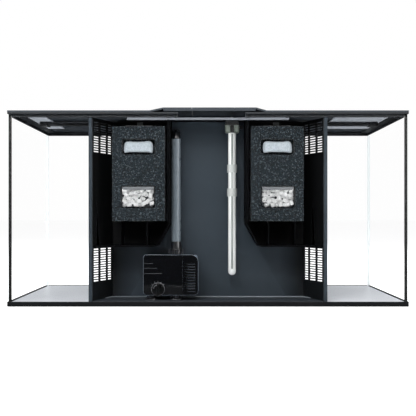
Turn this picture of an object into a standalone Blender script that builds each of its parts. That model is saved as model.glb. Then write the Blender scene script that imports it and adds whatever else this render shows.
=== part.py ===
"""An aquarium with a hood and a filter compartment behind its rear pane.

The compartment holds two foam cartridges, a pump with a return hose and a heater.
+X is to the right as seen from the service side, -Y is the service (rear) side and Z is up.
All values are metres. The tank stands on the origin.
"""

import math

import bmesh
import bpy
from mathutils import Matrix, Vector

# ---------------------------------------------------------------- driving dimensions

GAP = 0.0003  # left between pieces that touch
WIDTH = 0.820
DEPTH = 0.390
HEIGHT = 0.4006  # to the top of the hood beside its raised middle

# Tank
GLASS = 0.005
BOTTOM_GLASS = 0.006
TRIM_HEIGHT = 0.010
TRIM_WALL = 0.0012  # the base trim's lip outside the panes
TRIM_LEDGE = 0.0027  # the base trim's web under the panes
TRIM_BAND = 0.014
SEAL_LAYER = 0.0008  # silicone between two panes
SEAL_LEG = 0.0012  # silicone in the inner corner

# Hood and the rim that carries it
HOOD_WALL = 0.0033
HOOD_RISE = 0.0059
BUMP_FOOT = (-0.1192, 0.1200)
BUMP_TOP = (-0.0918, 0.0984)
BUMP_DEPTH = 0.150  # from the rear edge
BUMP_FALL = 0.030  # length of the slope in front of it
RIM = 0.0035
RIM_SIDE = 0.025  # width of the ledge along the sides
RIM_END = 0.012  # width of the ledge along the front and rear
SKIRT = 0.0065  # how far the rim reaches down inside the panes
SKIRT_WALL = 0.002
CABLE_CUT = (-0.061, 0.076)
FLAP_X = (-0.0335, 0.0549)
FLAP_LENGTH = 0.128
FLAP_LIP = 0.0035  # the lip that hangs from the rear edge of the raised middle
SEAM = 0.0006  # visible seam around the flap
HINGE_BARREL = 0.0019
HINGE_PIN = 0.0008
LINER = 0.0025
LINER_END = 0.026  # from either end of the hood to a liner
LINER_WIDTH = (0.039, 0.114)  # left and right
LINER_REAR = 0.025  # from the hood's rear edge
LINER_LENGTH = 0.262
LAMP_END = (0.210, 0.210)  # from the hood's left and right ends
LAMP_REAR = 0.125  # from the hood's rear edge
LAMP_DEPTH = 0.070
LAMP_HEIGHT = 0.0175
LAMP_WALL = 0.003
LENS = 0.002
LED_BOARD = 0.0016
BRACKET_WIDTH = 0.017
BRACKET_END = (0.045, 0.041)  # from the hood's left and right ends to a bracket's middle

# Filter compartment
CHAMBER_DEPTH = 0.0762
CHAMBER_REAR = 0.2363  # half its width at the rear pane
CHAMBER_FRONT = 0.2045  # half its width at its front wall
CHAMBER_WALL = 0.003
FLANGE = 0.0084
FLOOR_PLATE = 0.0019
SLOT_COLUMNS = ((0.06, 0.33), (0.39, 0.70), (0.76, 0.96))  # shares of the slanted wall
SLOT_PITCH = 0.005
SLOT_HEIGHT = 0.0028
SLOT_ROWS = 14
LOW_SLOTS = 0.040  # from the compartment's floor to the lowest slot
HIGH_SLOTS = 0.0685  # from the compartment's top down to the first slot of the upper group
DIVIDER_X = 0.0805
DIVIDER_WALL = 0.003
DIVIDER_EDGE = 0.007
TRAY_OVER_PUMP = 0.0194  # from the pump's top to the floor of the side chambers
WEIR_Z = 0.170
RAIL_HEIGHT = 0.0047
RAIL_DEPTH = 0.006
RAIL_X = 0.166
RAIL_NOTCH = 0.0018  # depth of the notches in its rear face
RAIL_CLIP = 0.0080  # width of the notch in front of each divider
RAIL_HEATER = (-0.0165, 0.0125)  # the notch behind the heater's head, from its axis

# Cartridges, one in each side chamber
FOAM_ROOM_INNER = 0.0067  # from the divider's line to the foam
FOAM_ROOM_OUTER = 0.0065  # from the compartment's front corner to the foam
FOAM_ROOM_REAR = 0.0025
FOAM_ROOM_FRONT = 0.0067
FOAM_BOTTOM = 0.1735
FOAM_BELOW_RIM = 0.0165
POCKET_DEPTH = 0.018
POCKET_INNER = 0.0238  # from the foam's inner side to both media
POUCH_OUTER = 0.0230  # from the pouch to the foam's outer side
POUCH_HEIGHT = 0.0278
POUCH_BELOW_TOP = 0.0293
MEDIA_OUTER = 0.0210
MEDIA_HEIGHT = 0.0413
MEDIA_ABOVE_BOTTOM = 0.0302
HANDLE_WIDTH = 0.012
HANDLE_HEIGHT = 0.0108
HANDLE_PLATE = 0.0015

# Pump. Its places along X are from its left end.
PUMP_LEFT = -0.1334
PUMP_LENGTH = 0.1134
PUMP_HEIGHT = 0.0835
PUMP_ROOM = 0.0081  # between the pump and the compartment's front and rear
PUMP_SEAM = 0.0809
PUMP_CORNER = 0.014
PUMP_EDGE = 0.0055
COVER_WALL = 0.0022
GRILLE_SLOTS = 11
GRILLE_PITCH = 0.0056
GRILLE_SLOT = 0.0030
FOOT_HEIGHT = 0.0102
FOOT_RADIUS = 0.0125
FOOT_AT = (0.0154, 0.0674)
FOOT_Y = 0.016
OUTLET_AT = 0.0666
AXIS_ABOVE_PUMP_BOTTOM = 0.040
ROTOR_AT = (0.0214, 0.0554)
ROTOR_RADIUS = 0.0085
VANE_AT = (0.0572, 0.0724)
VANE_RADIUS = 0.019
HUB_RADIUS = 0.0045
CHAMBER_RADIUS = 0.0215
SHAFT_RADIUS = 0.0015
RUN_CLEARANCE = 0.0008  # between the impeller and what it runs in
DIAL_AT = 0.0304
DIAL_ABOVE_BOTTOM = 0.0125
DIAL_RADIUS = 0.0130
DIAL_DEPTH = 0.0035
DIAL_RECESS = 0.0012
GLAND_AT = 0.0184

# Return line
HOSE_RADIUS = 0.0097
HOSE_WALL = 0.0022
PIPE_RADIUS = 0.0072
PIPE_WALL = 0.0015
NUT_HEIGHT = 0.0105
NUT_RADIUS = 0.0120
CONNECTOR_HEIGHT = 0.0150
BARB = 0.020  # how far a spigot reaches into the hose
RETURN_BELOW_TOP = 0.0406  # the return pipe's axis under the hood's top
ELBOW_RADIUS = 0.0140
NOZZLE_LENGTH = 0.028
NOZZLE_WIDTH = 0.038
NOZZLE_HEIGHT = 0.009

# Heater
HEATER_X = 0.0505
HEATER_TO_WALL = 0.0330  # from its axis to the compartment's front wall
HEATER_RADIUS = 0.0083
HEATER_WALL = 0.0012
HEATER_BOTTOM = 0.0604
HEATER_HEAD_TOP = 0.0226  # under the hood's top
HEAD_HEIGHT = 0.0186
HEAD_HALF_WIDTH = 0.0147
BLOCK_HEIGHT = 0.0075
KNOB_HEIGHT = 0.0110
KNOB_RADIUS = 0.0027
CLIP_BELOW_HEAD = 0.0749
CLIP_SPACING = 0.0500
CLIP_HEIGHT = 0.0165
CLIP_WALL = 0.0016
CUP_RADIUS = 0.0095

# ---------------------------------------------------------------- derived levels and planes

glass_x = WIDTH / 2 - TRIM_WALL - GAP
glass_y = DEPTH / 2 - TRIM_WALL - GAP
inner_x = glass_x - GLASS
inner_y = glass_y - GLASS
pane_bottom = TRIM_LEDGE + GAP
bottom_top = pane_bottom + BOTTOM_GLASS
hood_bottom = HEIGHT - HOOD_WALL
bump_bottom = hood_bottom + HOOD_RISE
rim_top = hood_bottom - GAP
rim_bottom = rim_top - RIM
skirt_bottom = rim_bottom - SKIRT
pane_top = rim_bottom - GAP
chamber_rear = -inner_y + GAP
chamber_front = chamber_rear + CHAMBER_DEPTH
chamber_top = skirt_bottom - GAP
chamber_bottom = bottom_top + GAP
floor_top = chamber_bottom + FLOOR_PLATE
rail_bottom = chamber_top - RAIL_HEIGHT
foam_rear = chamber_rear + FOAM_ROOM_REAR
foam_front = chamber_front - FOAM_ROOM_FRONT
foam_x = (DIVIDER_X + FOAM_ROOM_INNER, CHAMBER_FRONT - FOAM_ROOM_OUTER)
foam_top = skirt_bottom - FOAM_BELOW_RIM
handle_x = sum(foam_x) / 2
pump_bottom = floor_top + GAP + FOOT_HEIGHT
pump_top = pump_bottom + PUMP_HEIGHT
tray_z = pump_top + TRAY_OVER_PUMP
pump_depth = CHAMBER_DEPTH - 2 * PUMP_ROOM
pump_y = chamber_rear + CHAMBER_DEPTH / 2
pump_rear = pump_y - pump_depth / 2
pump_right = PUMP_LEFT + PUMP_LENGTH
seam_x = PUMP_LEFT + PUMP_SEAM
outlet_x = PUMP_LEFT + OUTLET_AT
dial_x = PUMP_LEFT + DIAL_AT
rotor_x = (PUMP_LEFT + ROTOR_AT[0], PUMP_LEFT + ROTOR_AT[1])
vane_x = (PUMP_LEFT + VANE_AT[0], PUMP_LEFT + VANE_AT[1])
axis_z = pump_bottom + AXIS_ABOVE_PUMP_BOTTOM
return_z = HEIGHT - RETURN_BELOW_TOP
nut_bottom = pump_top + GAP
connector_bottom = nut_bottom + NUT_HEIGHT + GAP
hose_bottom = connector_bottom + CONNECTOR_HEIGHT + GAP
hose_top = return_z - ELBOW_RADIUS
head_top = HEIGHT - HEATER_HEAD_TOP
head_bottom = head_top - HEAD_HEIGHT
heater_y = chamber_front - HEATER_TO_WALL
lamp_top = hood_bottom - LINER - 2 * GAP
lamp_bottom = lamp_top - LAMP_HEIGHT
lamp_x = (-WIDTH / 2 + LAMP_END[0], WIDTH / 2 - LAMP_END[1])
lamp_y = (-DEPTH / 2 + LAMP_REAR, -DEPTH / 2 + LAMP_REAR + LAMP_DEPTH)
flap_front = -DEPTH / 2 + FLAP_LENGTH
hinge_z = HEIGHT + HOOD_RISE - HINGE_BARREL

# ---------------------------------------------------------------- tools


def clear_scene():
    for item in list(bpy.data.objects):
        bpy.data.objects.remove(item, do_unlink=True)


def new_collection(name):
    collection = bpy.data.collections.new(name)
    bpy.context.scene.collection.children.link(collection)
    return collection


def new_material(name, colour, roughness, metallic=0.0, transmission=0.0):
    material = bpy.data.materials.new(name)
    material.use_nodes = True
    shader = material.node_tree.nodes["Principled BSDF"]
    shader.inputs["Base Color"].default_value = (*colour, 1.0)
    shader.inputs["Roughness"].default_value = roughness
    shader.inputs["Metallic"].default_value = metallic
    shader.inputs["Transmission Weight"].default_value = transmission
    return material


def piece(name, mesh, material):
    """An object in the part's collection, or a helper in the cutters' where it has no material."""
    made = bpy.data.objects.new(name, mesh)
    if material is None:
        CUTTERS.objects.link(made)
        made.hide_render = True
        made.display_type = "WIRE"
    else:
        PART.objects.link(made)
        mesh.materials.append(material)
    return made


def mesh_of(name, build):
    """A mesh named after its piece, from what build adds to an empty bmesh."""
    mesh = bpy.data.meshes.new(name)
    shape = bmesh.new()
    build(shape)
    shape.to_mesh(mesh)
    shape.free()
    return mesh


def round_edges(target, width, segments=2, angle=40):
    bevel = target.modifiers.new("Bevel", "BEVEL")
    bevel.width = width
    bevel.segments = segments
    bevel.limit_method = "ANGLE"
    bevel.angle_limit = math.radians(angle)
    return target


def box(name, low, high, material=None, edge=0.0):
    low, high = Vector(low), Vector(high)

    def build(shape):
        bmesh.ops.create_cube(shape, matrix=Matrix.Diagonal((*(high - low), 1.0)))

    made = piece(name, mesh_of(name, build), material)
    made.location = (low + high) / 2
    return round_edges(made, edge, 1) if edge else made


def boxes(name, places):
    """A cutter of many separate boxes, each given by its 4x4 placing of a unit cube."""

    def build(shape):
        for place in places:
            bmesh.ops.create_cube(shape, matrix=place)

    return piece(name, mesh_of(name, build), None)


def rod(name, start, end, radius, material=None, sides=24, end_radius=None):
    start, end = Vector(start), Vector(end)
    along = end - start

    def build(shape):
        bmesh.ops.create_cone(
            shape,
            cap_ends=True,
            segments=sides,
            radius1=radius,
            radius2=radius if end_radius is None else end_radius,
            depth=along.length,
        )

    made = piece(name, mesh_of(name, build), material)
    made.location = (start + end) / 2
    made.rotation_euler = along.to_track_quat("Z", "Y").to_euler()
    return made


def turned(name, profile, centre, material=None, steps=24, ring=False):
    """A profile of (radius, height) turned round Z. It runs down its outer side, and a ring's closes."""

    def build(shape):
        corners = [shape.verts.new((radius, 0.0, height)) for radius, height in profile]
        for first, second in zip(corners, corners[1:]):
            shape.edges.new((first, second))
        if ring:
            shape.edges.new((corners[-1], corners[0]))

    made = piece(name, mesh_of(name, build), material)
    made.location = centre
    screw = made.modifiers.new("Screw", "SCREW")
    screw.steps = steps
    screw.render_steps = steps
    screw.use_merge_vertices = True
    screw.merge_threshold = 0.00001
    return made


def to_mesh(curve_object, material):
    """Turns a curve object into a mesh object of the same name and place, with its caps welded."""
    bpy.context.view_layer.update()
    graph = bpy.context.evaluated_depsgraph_get()
    mesh = bpy.data.meshes.new_from_object(curve_object.evaluated_get(graph))
    mesh.materials.clear()
    shape = bmesh.new()
    shape.from_mesh(mesh)
    bmesh.ops.remove_doubles(shape, verts=shape.verts, dist=0.00001)
    bmesh.ops.recalc_face_normals(shape, faces=shape.faces)
    shape.to_mesh(mesh)
    shape.free()
    name, place = curve_object.name, curve_object.matrix_world.copy()
    bpy.data.objects.remove(curve_object, do_unlink=True)
    made = piece(name, mesh, material)
    made.matrix_world = place
    return made


def prism(name, outline, low, high, material=None, axis="Z"):
    """An outline extruded from low to high along Z, or along Y, where its points are (x, z)."""
    curve = bpy.data.curves.new(name, "CURVE")
    curve.dimensions = "2D"
    curve.fill_mode = "BOTH"
    curve.extrude = (high - low) / 2
    spline = curve.splines.new("POLY")
    spline.points.add(len(outline) - 1)
    for point, (across, up) in zip(spline.points, outline):
        point.co = (across, up, 0.0, 1.0)
    spline.use_cyclic_u = True
    made = bpy.data.objects.new(name, curve)
    CUTTERS.objects.link(made)
    middle = (low + high) / 2
    if axis == "Y":
        made.matrix_world = Matrix.Translation((0, middle, 0)) @ Matrix.Rotation(math.pi / 2, 4, "X")
    else:
        made.location = (0, 0, middle)
    return to_mesh(made, material)


def tube(name, route, radius, material=None, resolution=3):
    """A round tube along the route's points, with filled caps."""
    curve = bpy.data.curves.new(name, "CURVE")
    curve.dimensions = "3D"
    curve.bevel_depth = radius
    curve.bevel_resolution = resolution
    curve.use_fill_caps = True
    spline = curve.splines.new("POLY")
    spline.points.add(len(route) - 1)
    for point, place in zip(spline.points, route):
        point.co = (*place, 1.0)
    made = bpy.data.objects.new(name, curve)
    CUTTERS.objects.link(made)
    return to_mesh(made, material)


def wall(name, line, low, high, thickness, material, axis="Z"):
    """An upright sheet along a line of (x, y), or of (x, z) drawn out along Y, thickened to its left."""

    def place(point, level):
        return (*point, level) if axis == "Z" else (point[0], level, point[1])

    def build(shape):
        start = [shape.verts.new(place(point, low)) for point in line]
        end = [shape.verts.new(place(point, high)) for point in line]
        for i in range(len(line) - 1):
            shape.faces.new((start[i], start[i + 1], end[i + 1], end[i]))

    made = piece(name, mesh_of(name, build), material)
    solid = made.modifiers.new("Solidify", "SOLIDIFY")
    solid.thickness = thickness
    solid.offset = -1.0
    solid.use_even_offset = True
    return made


def boolean(target, operation, *others):
    for other in others:
        modifier = target.modifiers.new(operation.title(), "BOOLEAN")
        modifier.operation = operation
        modifier.object = other
    return target


def cut(target, *others):
    return boolean(target, "DIFFERENCE", *others)


def join(target, *others):
    return boolean(target, "UNION", *others)


def hang(name, place, pieces):
    """An empty on a joint's axis, with the pieces that move on that joint as its children."""
    pivot = bpy.data.objects.new(name, None)
    PART.objects.link(pivot)
    pivot.location = place
    bpy.context.view_layer.update()
    for item in pieces:
        item.parent = pivot
        item.matrix_parent_inverse = pivot.matrix_world.inverted()
    return pivot


def arc(centre, radius, first, last, steps):
    """Points on a circle from one angle to another, in degrees."""
    angles = [math.radians(first + (last - first) * i / steps) for i in range(steps + 1)]
    return [(centre[0] + radius * math.cos(a), centre[1] + radius * math.sin(a)) for a in angles]


def rounded_box_outline(low, high, radii, steps=4):
    """A rectangle whose corners, from the lower left on and against the clock, have these radii."""
    corners = ((low[0], low[1], 180), (high[0], low[1], 270), (high[0], high[1], 0), (low[0], high[1], 90))
    outline = []
    for (across, up, first), radius in zip(corners, radii):
        side = 1 if across == low[0] else -1
        lift = 1 if up == low[1] else -1
        centre = (across + side * radius, up + lift * radius)
        outline += arc(centre, radius, first, first + 90, steps)
    return outline


# ---------------------------------------------------------------- tank


def base_trim(plastic):
    half_x, half_y = WIDTH / 2, DEPTH / 2
    trim = box("base_trim", (-half_x, -half_y, 0), (half_x, half_y, TRIM_HEIGHT), plastic)
    bed = box(
        "cut_trim_bed",
        (-glass_x - GAP, -glass_y - GAP, TRIM_LEDGE),
        (glass_x + GAP, glass_y + GAP, TRIM_HEIGHT + 0.01),
    )
    opening = box(
        "cut_trim_opening",
        (-half_x + TRIM_BAND, -half_y + TRIM_BAND, -0.01),
        (half_x - TRIM_BAND, half_y - TRIM_BAND, TRIM_HEIGHT),
    )
    return cut(trim, bed, opening)


def panes(glass):
    """The five panes. The front and rear ones run the full width, with the sides between them."""
    end_y = inner_y - SEAL_LAYER
    bottom_x, bottom_y = inner_x - GAP, inner_y - GAP
    box("bottom_glass", (-bottom_x, -bottom_y, pane_bottom), (bottom_x, bottom_y, bottom_top), glass)
    box("rear_glass", (-glass_x, -glass_y, pane_bottom), (glass_x, -inner_y, pane_top), glass)
    box("front_glass", (-glass_x, inner_y, pane_bottom), (glass_x, glass_y, pane_top), glass)
    box("left_glass", (-glass_x, -end_y, pane_bottom), (-inner_x, end_y, pane_top), glass)
    box("right_glass", (inner_x, -end_y, pane_bottom), (glass_x, end_y, pane_top), glass)


def corner_seals(silicone):
    """Black silicone between the end of each side pane and the pane it meets, with a small inner fillet."""
    face = inner_y - GAP
    seam = inner_y - SEAL_LAYER + GAP
    fillet_x = inner_x - GAP - SEAL_LEG
    for x_side, x_name in ((-1, "left"), (1, "right")):
        for y_side, y_name in ((-1, "rear"), (1, "front")):
            profile = [
                (glass_x, face),
                (glass_x, seam),
                (inner_x - GAP, seam),
                (inner_x - GAP, face - SEAL_LAYER - SEAL_LEG),
                (fillet_x, face),
            ]
            outline = [(x_side * x, y_side * y) for x, y in profile]
            low, high = bottom_top + GAP, skirt_bottom - GAP
            prism(f"corner_seal_{y_name}_{x_name}", outline, low, high, silicone)


def top_frame(plastic):
    """The rim over the panes' upper edges, with a skirt inside them and a gap for the cables."""
    half_x, half_y = WIDTH / 2, DEPTH / 2
    frame = box("top_frame", (-half_x, -half_y, skirt_bottom), (half_x, half_y, rim_top), plastic)
    skirt_x, skirt_y = inner_x - GAP, inner_y - GAP
    keep = box("keep_skirt", (-skirt_x, -skirt_y, skirt_bottom - 0.01), (skirt_x, skirt_y, rim_top))
    outside = box(
        "cut_frame_outside",
        (-half_x - 0.01, -half_y - 0.01, skirt_bottom - 0.01),
        (half_x + 0.01, half_y + 0.01, rim_bottom),
    )
    cut(outside, keep)
    opening = box(
        "cut_frame_opening",
        (-half_x + RIM_SIDE, -half_y + RIM_END, skirt_bottom - 0.01),
        (half_x - RIM_SIDE, half_y - RIM_END, rim_top + 0.01),
    )
    under = box(
        "cut_frame_under",
        (-skirt_x + SKIRT_WALL, -skirt_y + SKIRT_WALL, skirt_bottom - 0.01),
        (skirt_x - SKIRT_WALL, skirt_y - SKIRT_WALL, rim_bottom),
    )
    notch = box(
        "cut_frame_cables",
        (CABLE_CUT[0], -half_y - 0.01, skirt_bottom - 0.02),
        (CABLE_CUT[1], -half_y + RIM_END + 0.01, rim_top + 0.01),
    )
    return cut(frame, outside, opening, under, notch)


def top_rail(plastic):
    """The light rail on the rear pane under the rim, notched for cables, dividers and the heater."""
    low = (-RAIL_X, chamber_rear, rail_bottom)
    high = (RAIL_X, chamber_rear + RAIL_DEPTH, chamber_top)
    rail = box("top_rail", low, high, plastic)
    spans = [(across - 0.0017, across + 0.0017) for across in (-0.0665, 0.0678)]
    spans += [(side * DIVIDER_X - RAIL_CLIP / 2, side * DIVIDER_X + RAIL_CLIP / 2) for side in (-1, 1)]
    spans.append((HEATER_X + RAIL_HEATER[0], HEATER_X + RAIL_HEATER[1]))
    level = chamber_top - RAIL_HEIGHT / 2
    places = []
    for start, end in spans:
        size = Matrix.Diagonal((end - start, 2 * RAIL_NOTCH, RAIL_HEIGHT * 2, 1.0))
        places.append(Matrix.Translation(((start + end) / 2, chamber_rear, level)) @ size)
    return cut(rail, boxes("cut_rail_notches", places))


# ---------------------------------------------------------------- hood


def hood_sheet(name, material):
    """The hood's upper surface as a coarse grid, raised in the middle of its rear part."""
    across = (-WIDTH / 2, BUMP_FOOT[0], BUMP_TOP[0], BUMP_TOP[1], BUMP_FOOT[1], WIDTH / 2)
    rear = -DEPTH / 2
    along = (rear, rear + BUMP_DEPTH, rear + BUMP_DEPTH + BUMP_FALL, DEPTH / 2)

    def build(shape):
        rows = []
        for row, y in enumerate(along):
            raised = [row < 2 and column in (2, 3) for column in range(len(across))]
            heights = [HEIGHT + HOOD_RISE * high for high in raised]
            rows.append([shape.verts.new((x, y, z)) for x, z in zip(across, heights)])
        for near, far in zip(rows, rows[1:]):
            for i in range(len(across) - 1):
                shape.faces.new((near[i], near[i + 1], far[i + 1], far[i]))

    made = piece(name, mesh_of(name, build), material)
    solid = made.modifiers.new("Solidify", "SOLIDIFY")
    solid.thickness = HOOD_WALL
    solid.offset = -1.0
    return made


def hood_shell(plastic):
    hood = hood_sheet("hood_shell", plastic)
    rear = -DEPTH / 2
    lip = box(
        "add_rear_lip",
        (BUMP_TOP[0] + 0.001, rear, bump_bottom - FLAP_LIP),
        (BUMP_TOP[1] - 0.001, rear + 0.0022, bump_bottom + 0.001),
    )
    opening = box(
        "cut_flap_opening",
        (FLAP_X[0], rear - 0.01, bump_bottom - 0.02),
        (FLAP_X[1], flap_front + HINGE_BARREL + GAP, HEIGHT + 0.03),
    )
    pin_hole = rod(
        "cut_hood_pin",
        (FLAP_X[0] - 0.006, flap_front, hinge_z),
        (FLAP_X[1] + 0.006, flap_front, hinge_z),
        HINGE_PIN + GAP,
        sides=12,
    )
    join(hood, lip)
    return cut(hood, opening, pin_hole)


def service_flap(plastic):
    """The lid over the filter: a plate with a rear lip, and a hinge barrel along its front edge."""
    low_x, high_x = FLAP_X[0] + SEAM, FLAP_X[1] - SEAM
    rear = -DEPTH / 2
    flap = box(
        "service_flap", (low_x, rear, bump_bottom), (high_x, flap_front, HEIGHT + HOOD_RISE), plastic
    )
    lip = box(
        "add_flap_lip",
        (low_x, rear, bump_bottom - FLAP_LIP),
        (high_x, rear + 0.0022, bump_bottom + 0.001),
    )
    barrel = rod(
        "add_flap_barrel",
        (low_x, flap_front, hinge_z),
        (high_x, flap_front, hinge_z),
        HINGE_BARREL,
        sides=16,
    )
    hole = rod(
        "cut_flap_pin",
        (low_x - 0.01, flap_front, hinge_z),
        (high_x + 0.01, flap_front, hinge_z),
        HINGE_PIN + GAP,
        sides=12,
    )
    join(flap, lip, barrel)
    return cut(flap, hole)


def hinge_pin(metal):
    reach = 0.005
    return rod(
        "flap_hinge_pin",
        (FLAP_X[0] - reach, flap_front, hinge_z),
        (FLAP_X[1] + reach, flap_front, hinge_z),
        HINGE_PIN,
        metal,
        sides=12,
    )


def hood_liners(plastic):
    """Light grey plates under both ends of the hood."""
    rear = -DEPTH / 2 + LINER_REAR
    high_z = hood_bottom - GAP
    made = []
    for name, side, width in (("left", -1, LINER_WIDTH[0]), ("right", 1, LINER_WIDTH[1])):
        outer = side * (WIDTH / 2 - LINER_END)
        inner = outer - side * width
        low = (min(outer, inner), rear, high_z - LINER)
        high = (max(outer, inner), rear + LINER_LENGTH, high_z)
        made.append(box(f"hood_liner_{name}", low, high, plastic, edge=0.0008))
    return made


def lamp(plastic, lens_plastic, board):
    """A channel open at its underside, with the light strip inside and the lens across its mouth."""
    low_x, high_x = lamp_x
    low_y, high_y = lamp_y
    housing = box(
        "lamp_housing", (low_x, low_y, lamp_bottom), (high_x, high_y, lamp_top), plastic, edge=0.0015
    )
    channel_low = (low_x + LAMP_WALL, low_y + LAMP_WALL * 3, lamp_bottom - 0.01)
    channel_high = (high_x - LAMP_WALL, high_y - LAMP_WALL * 3, lamp_top - LAMP_WALL)
    cut(housing, box("cut_lamp_channel", channel_low, channel_high))
    lens = box(
        "lamp_lens",
        (channel_low[0] + GAP, channel_low[1] + GAP, lamp_bottom),
        (channel_high[0] - GAP, channel_high[1] - GAP, lamp_bottom + LENS),
        lens_plastic,
    )
    strip_top = lamp_top - LAMP_WALL - GAP
    strip = box(
        "led_board",
        (channel_low[0] + 0.004, channel_low[1] + 0.006, strip_top - LED_BOARD),
        (channel_high[0] - 0.004, channel_high[1] - 0.006, strip_top),
        board,
    )
    return [housing, lens, strip]


def lamp_brackets(plastic):
    """Blocks under the liners that hold the lamp by its ends."""
    middle_y = sum(lamp_y) / 2
    made = []
    for name, side, end in (("left", -1, 0), ("right", 1, 1)):
        across = side * (WIDTH / 2 - BRACKET_END[end])
        low_x, high_x = across - BRACKET_WIDTH / 2, across + BRACKET_WIDTH / 2
        block_low = (low_x, middle_y - 0.020, lamp_top - 0.0085)
        block_high = (high_x, middle_y + 0.020, lamp_top)
        block = box(f"lamp_bracket_{name}", block_low, block_high, plastic, edge=0.0015)
        reach = (high_x - 0.004, lamp_x[0] - GAP) if side < 0 else (lamp_x[1] + GAP, low_x + 0.004)
        arm = box(
            f"add_bracket_arm_{name}",
            (reach[0], middle_y - 0.014, lamp_top - 0.0065),
            (reach[1], middle_y + 0.014, lamp_top - 0.0020),
        )
        made.append(join(block, arm))
    return made


# ---------------------------------------------------------------- filter compartment


def compartment_line():
    """The compartment's inner face in plan, from flange to flange."""
    return [
        (-CHAMBER_REAR - FLANGE, chamber_rear),
        (-CHAMBER_REAR, chamber_rear),
        (-CHAMBER_FRONT, chamber_front),
        (CHAMBER_FRONT, chamber_front),
        (CHAMBER_REAR, chamber_rear),
        (CHAMBER_REAR + FLANGE, chamber_rear),
    ]


def chamber_outline(clearance):
    """The plan of what fits inside the compartment with this clearance on each side."""
    slope = (CHAMBER_REAR - CHAMBER_FRONT) / CHAMBER_DEPTH
    side = clearance * math.hypot(1.0, slope)
    rear_x = CHAMBER_REAR - side - clearance * slope
    front_x = CHAMBER_FRONT - side + clearance * slope
    rear_y, front_y = chamber_rear + clearance, chamber_front - clearance
    return [(-rear_x, rear_y), (rear_x, rear_y), (front_x, front_y), (-front_x, front_y)]


def slot_places(side):
    """Each slot of one slanted wall, as a placing of a unit cube: three columns, two groups of rows."""
    start = Vector((side * CHAMBER_REAR, chamber_rear, 0.0))
    run = Vector((side * CHAMBER_FRONT, chamber_front, 0.0)) - start
    turn = Matrix.Rotation(math.atan2(run.y, run.x), 4, "Z")
    low = [floor_top + LOW_SLOTS + i * SLOT_PITCH for i in range(SLOT_ROWS)]
    high = [chamber_top - HIGH_SLOTS + i * SLOT_PITCH for i in range(SLOT_ROWS - 1)]
    places = []
    for first, last in SLOT_COLUMNS:
        centre = start + run * (first + last) / 2
        size = Matrix.Diagonal((run.length * (last - first), CHAMBER_WALL * 6, SLOT_HEIGHT, 1.0))
        for level in low + high:
            places.append(Matrix.Translation((centre.x, centre.y, level)) @ turn @ size)
    return places


def compartment_shell(plastic):
    shell = wall("compartment_shell", compartment_line(), chamber_bottom, chamber_top, CHAMBER_WALL, plastic)
    for side, side_name in ((-1, "left"), (1, "right")):
        cut(shell, boxes(f"cut_slots_{side_name}", slot_places(side)))
    hole = rod(
        "cut_return_hole",
        (outlet_x, chamber_front - 0.01, return_z),
        (outlet_x, chamber_front + 0.02, return_z),
        PIPE_RADIUS + GAP,
    )
    return cut(shell, hole)


def compartment_floor(plastic):
    return prism("compartment_floor", chamber_outline(GAP), chamber_bottom, floor_top, plastic)


def divider(side, name, plastic):
    """An upright wall whose lower part slants out into the tray under the foam."""
    bend = arc((DIVIDER_X + 0.0315, tray_z + 0.012), 0.012, 225, 270, 4)
    line = [(DIVIDER_X, chamber_top - GAP), (DIVIDER_X, WEIR_Z), *bend, (CHAMBER_REAR + 0.02, tray_z)]
    line = [(side * x, z) for x, z in line]
    if side < 0:
        line.reverse()
    made = wall(
        name, line, chamber_rear + GAP, chamber_front - GAP, DIVIDER_WALL, plastic, axis="Y"
    )
    fit = prism(f"keep_{name}", chamber_outline(2 * GAP), chamber_bottom, chamber_top + 0.01)
    boolean(made, "INTERSECT", fit)
    edge = box(
        f"add_{name}_edge",
        (side * DIVIDER_X - DIVIDER_EDGE / 2, chamber_rear + 2 * GAP, WEIR_Z + 0.004),
        (side * DIVIDER_X + DIVIDER_EDGE / 2, chamber_rear + 0.002, rail_bottom - GAP),
    )
    rests = [
        box(
            f"add_{name}_rest_{i}",
            (side * x - 0.0015, foam_rear + 0.004, tray_z - 0.001),
            (side * x + 0.0015, foam_front - 0.008, FOAM_BOTTOM - GAP),
        )
        for i, x in enumerate((foam_x[0] + 0.0378, foam_x[1] - 0.0180))
    ]
    rail_room = box(
        f"cut_{name}_rail",
        (side * DIVIDER_X - 0.02, chamber_rear - 0.01, rail_bottom - GAP),
        (side * DIVIDER_X + 0.02, chamber_rear + RAIL_DEPTH + GAP, chamber_top + 0.01),
    )
    passages = []
    for i in range(4):
        centre = (side * DIVIDER_X, chamber_rear + 0.016 + i * 0.0145, WEIR_Z + 0.028)
        passages.append(Matrix.Translation(centre) @ Matrix.Diagonal((0.02, 0.007, 0.032, 1.0)))
    join(made, edge, *rests)
    return cut(made, rail_room, boxes(f"cut_{name}_passages", passages))


# ---------------------------------------------------------------- cartridges


def span(side, low, high):
    """A range of X mirrored for the left side."""
    return (low, high) if side > 0 else (-high, -low)


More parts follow.
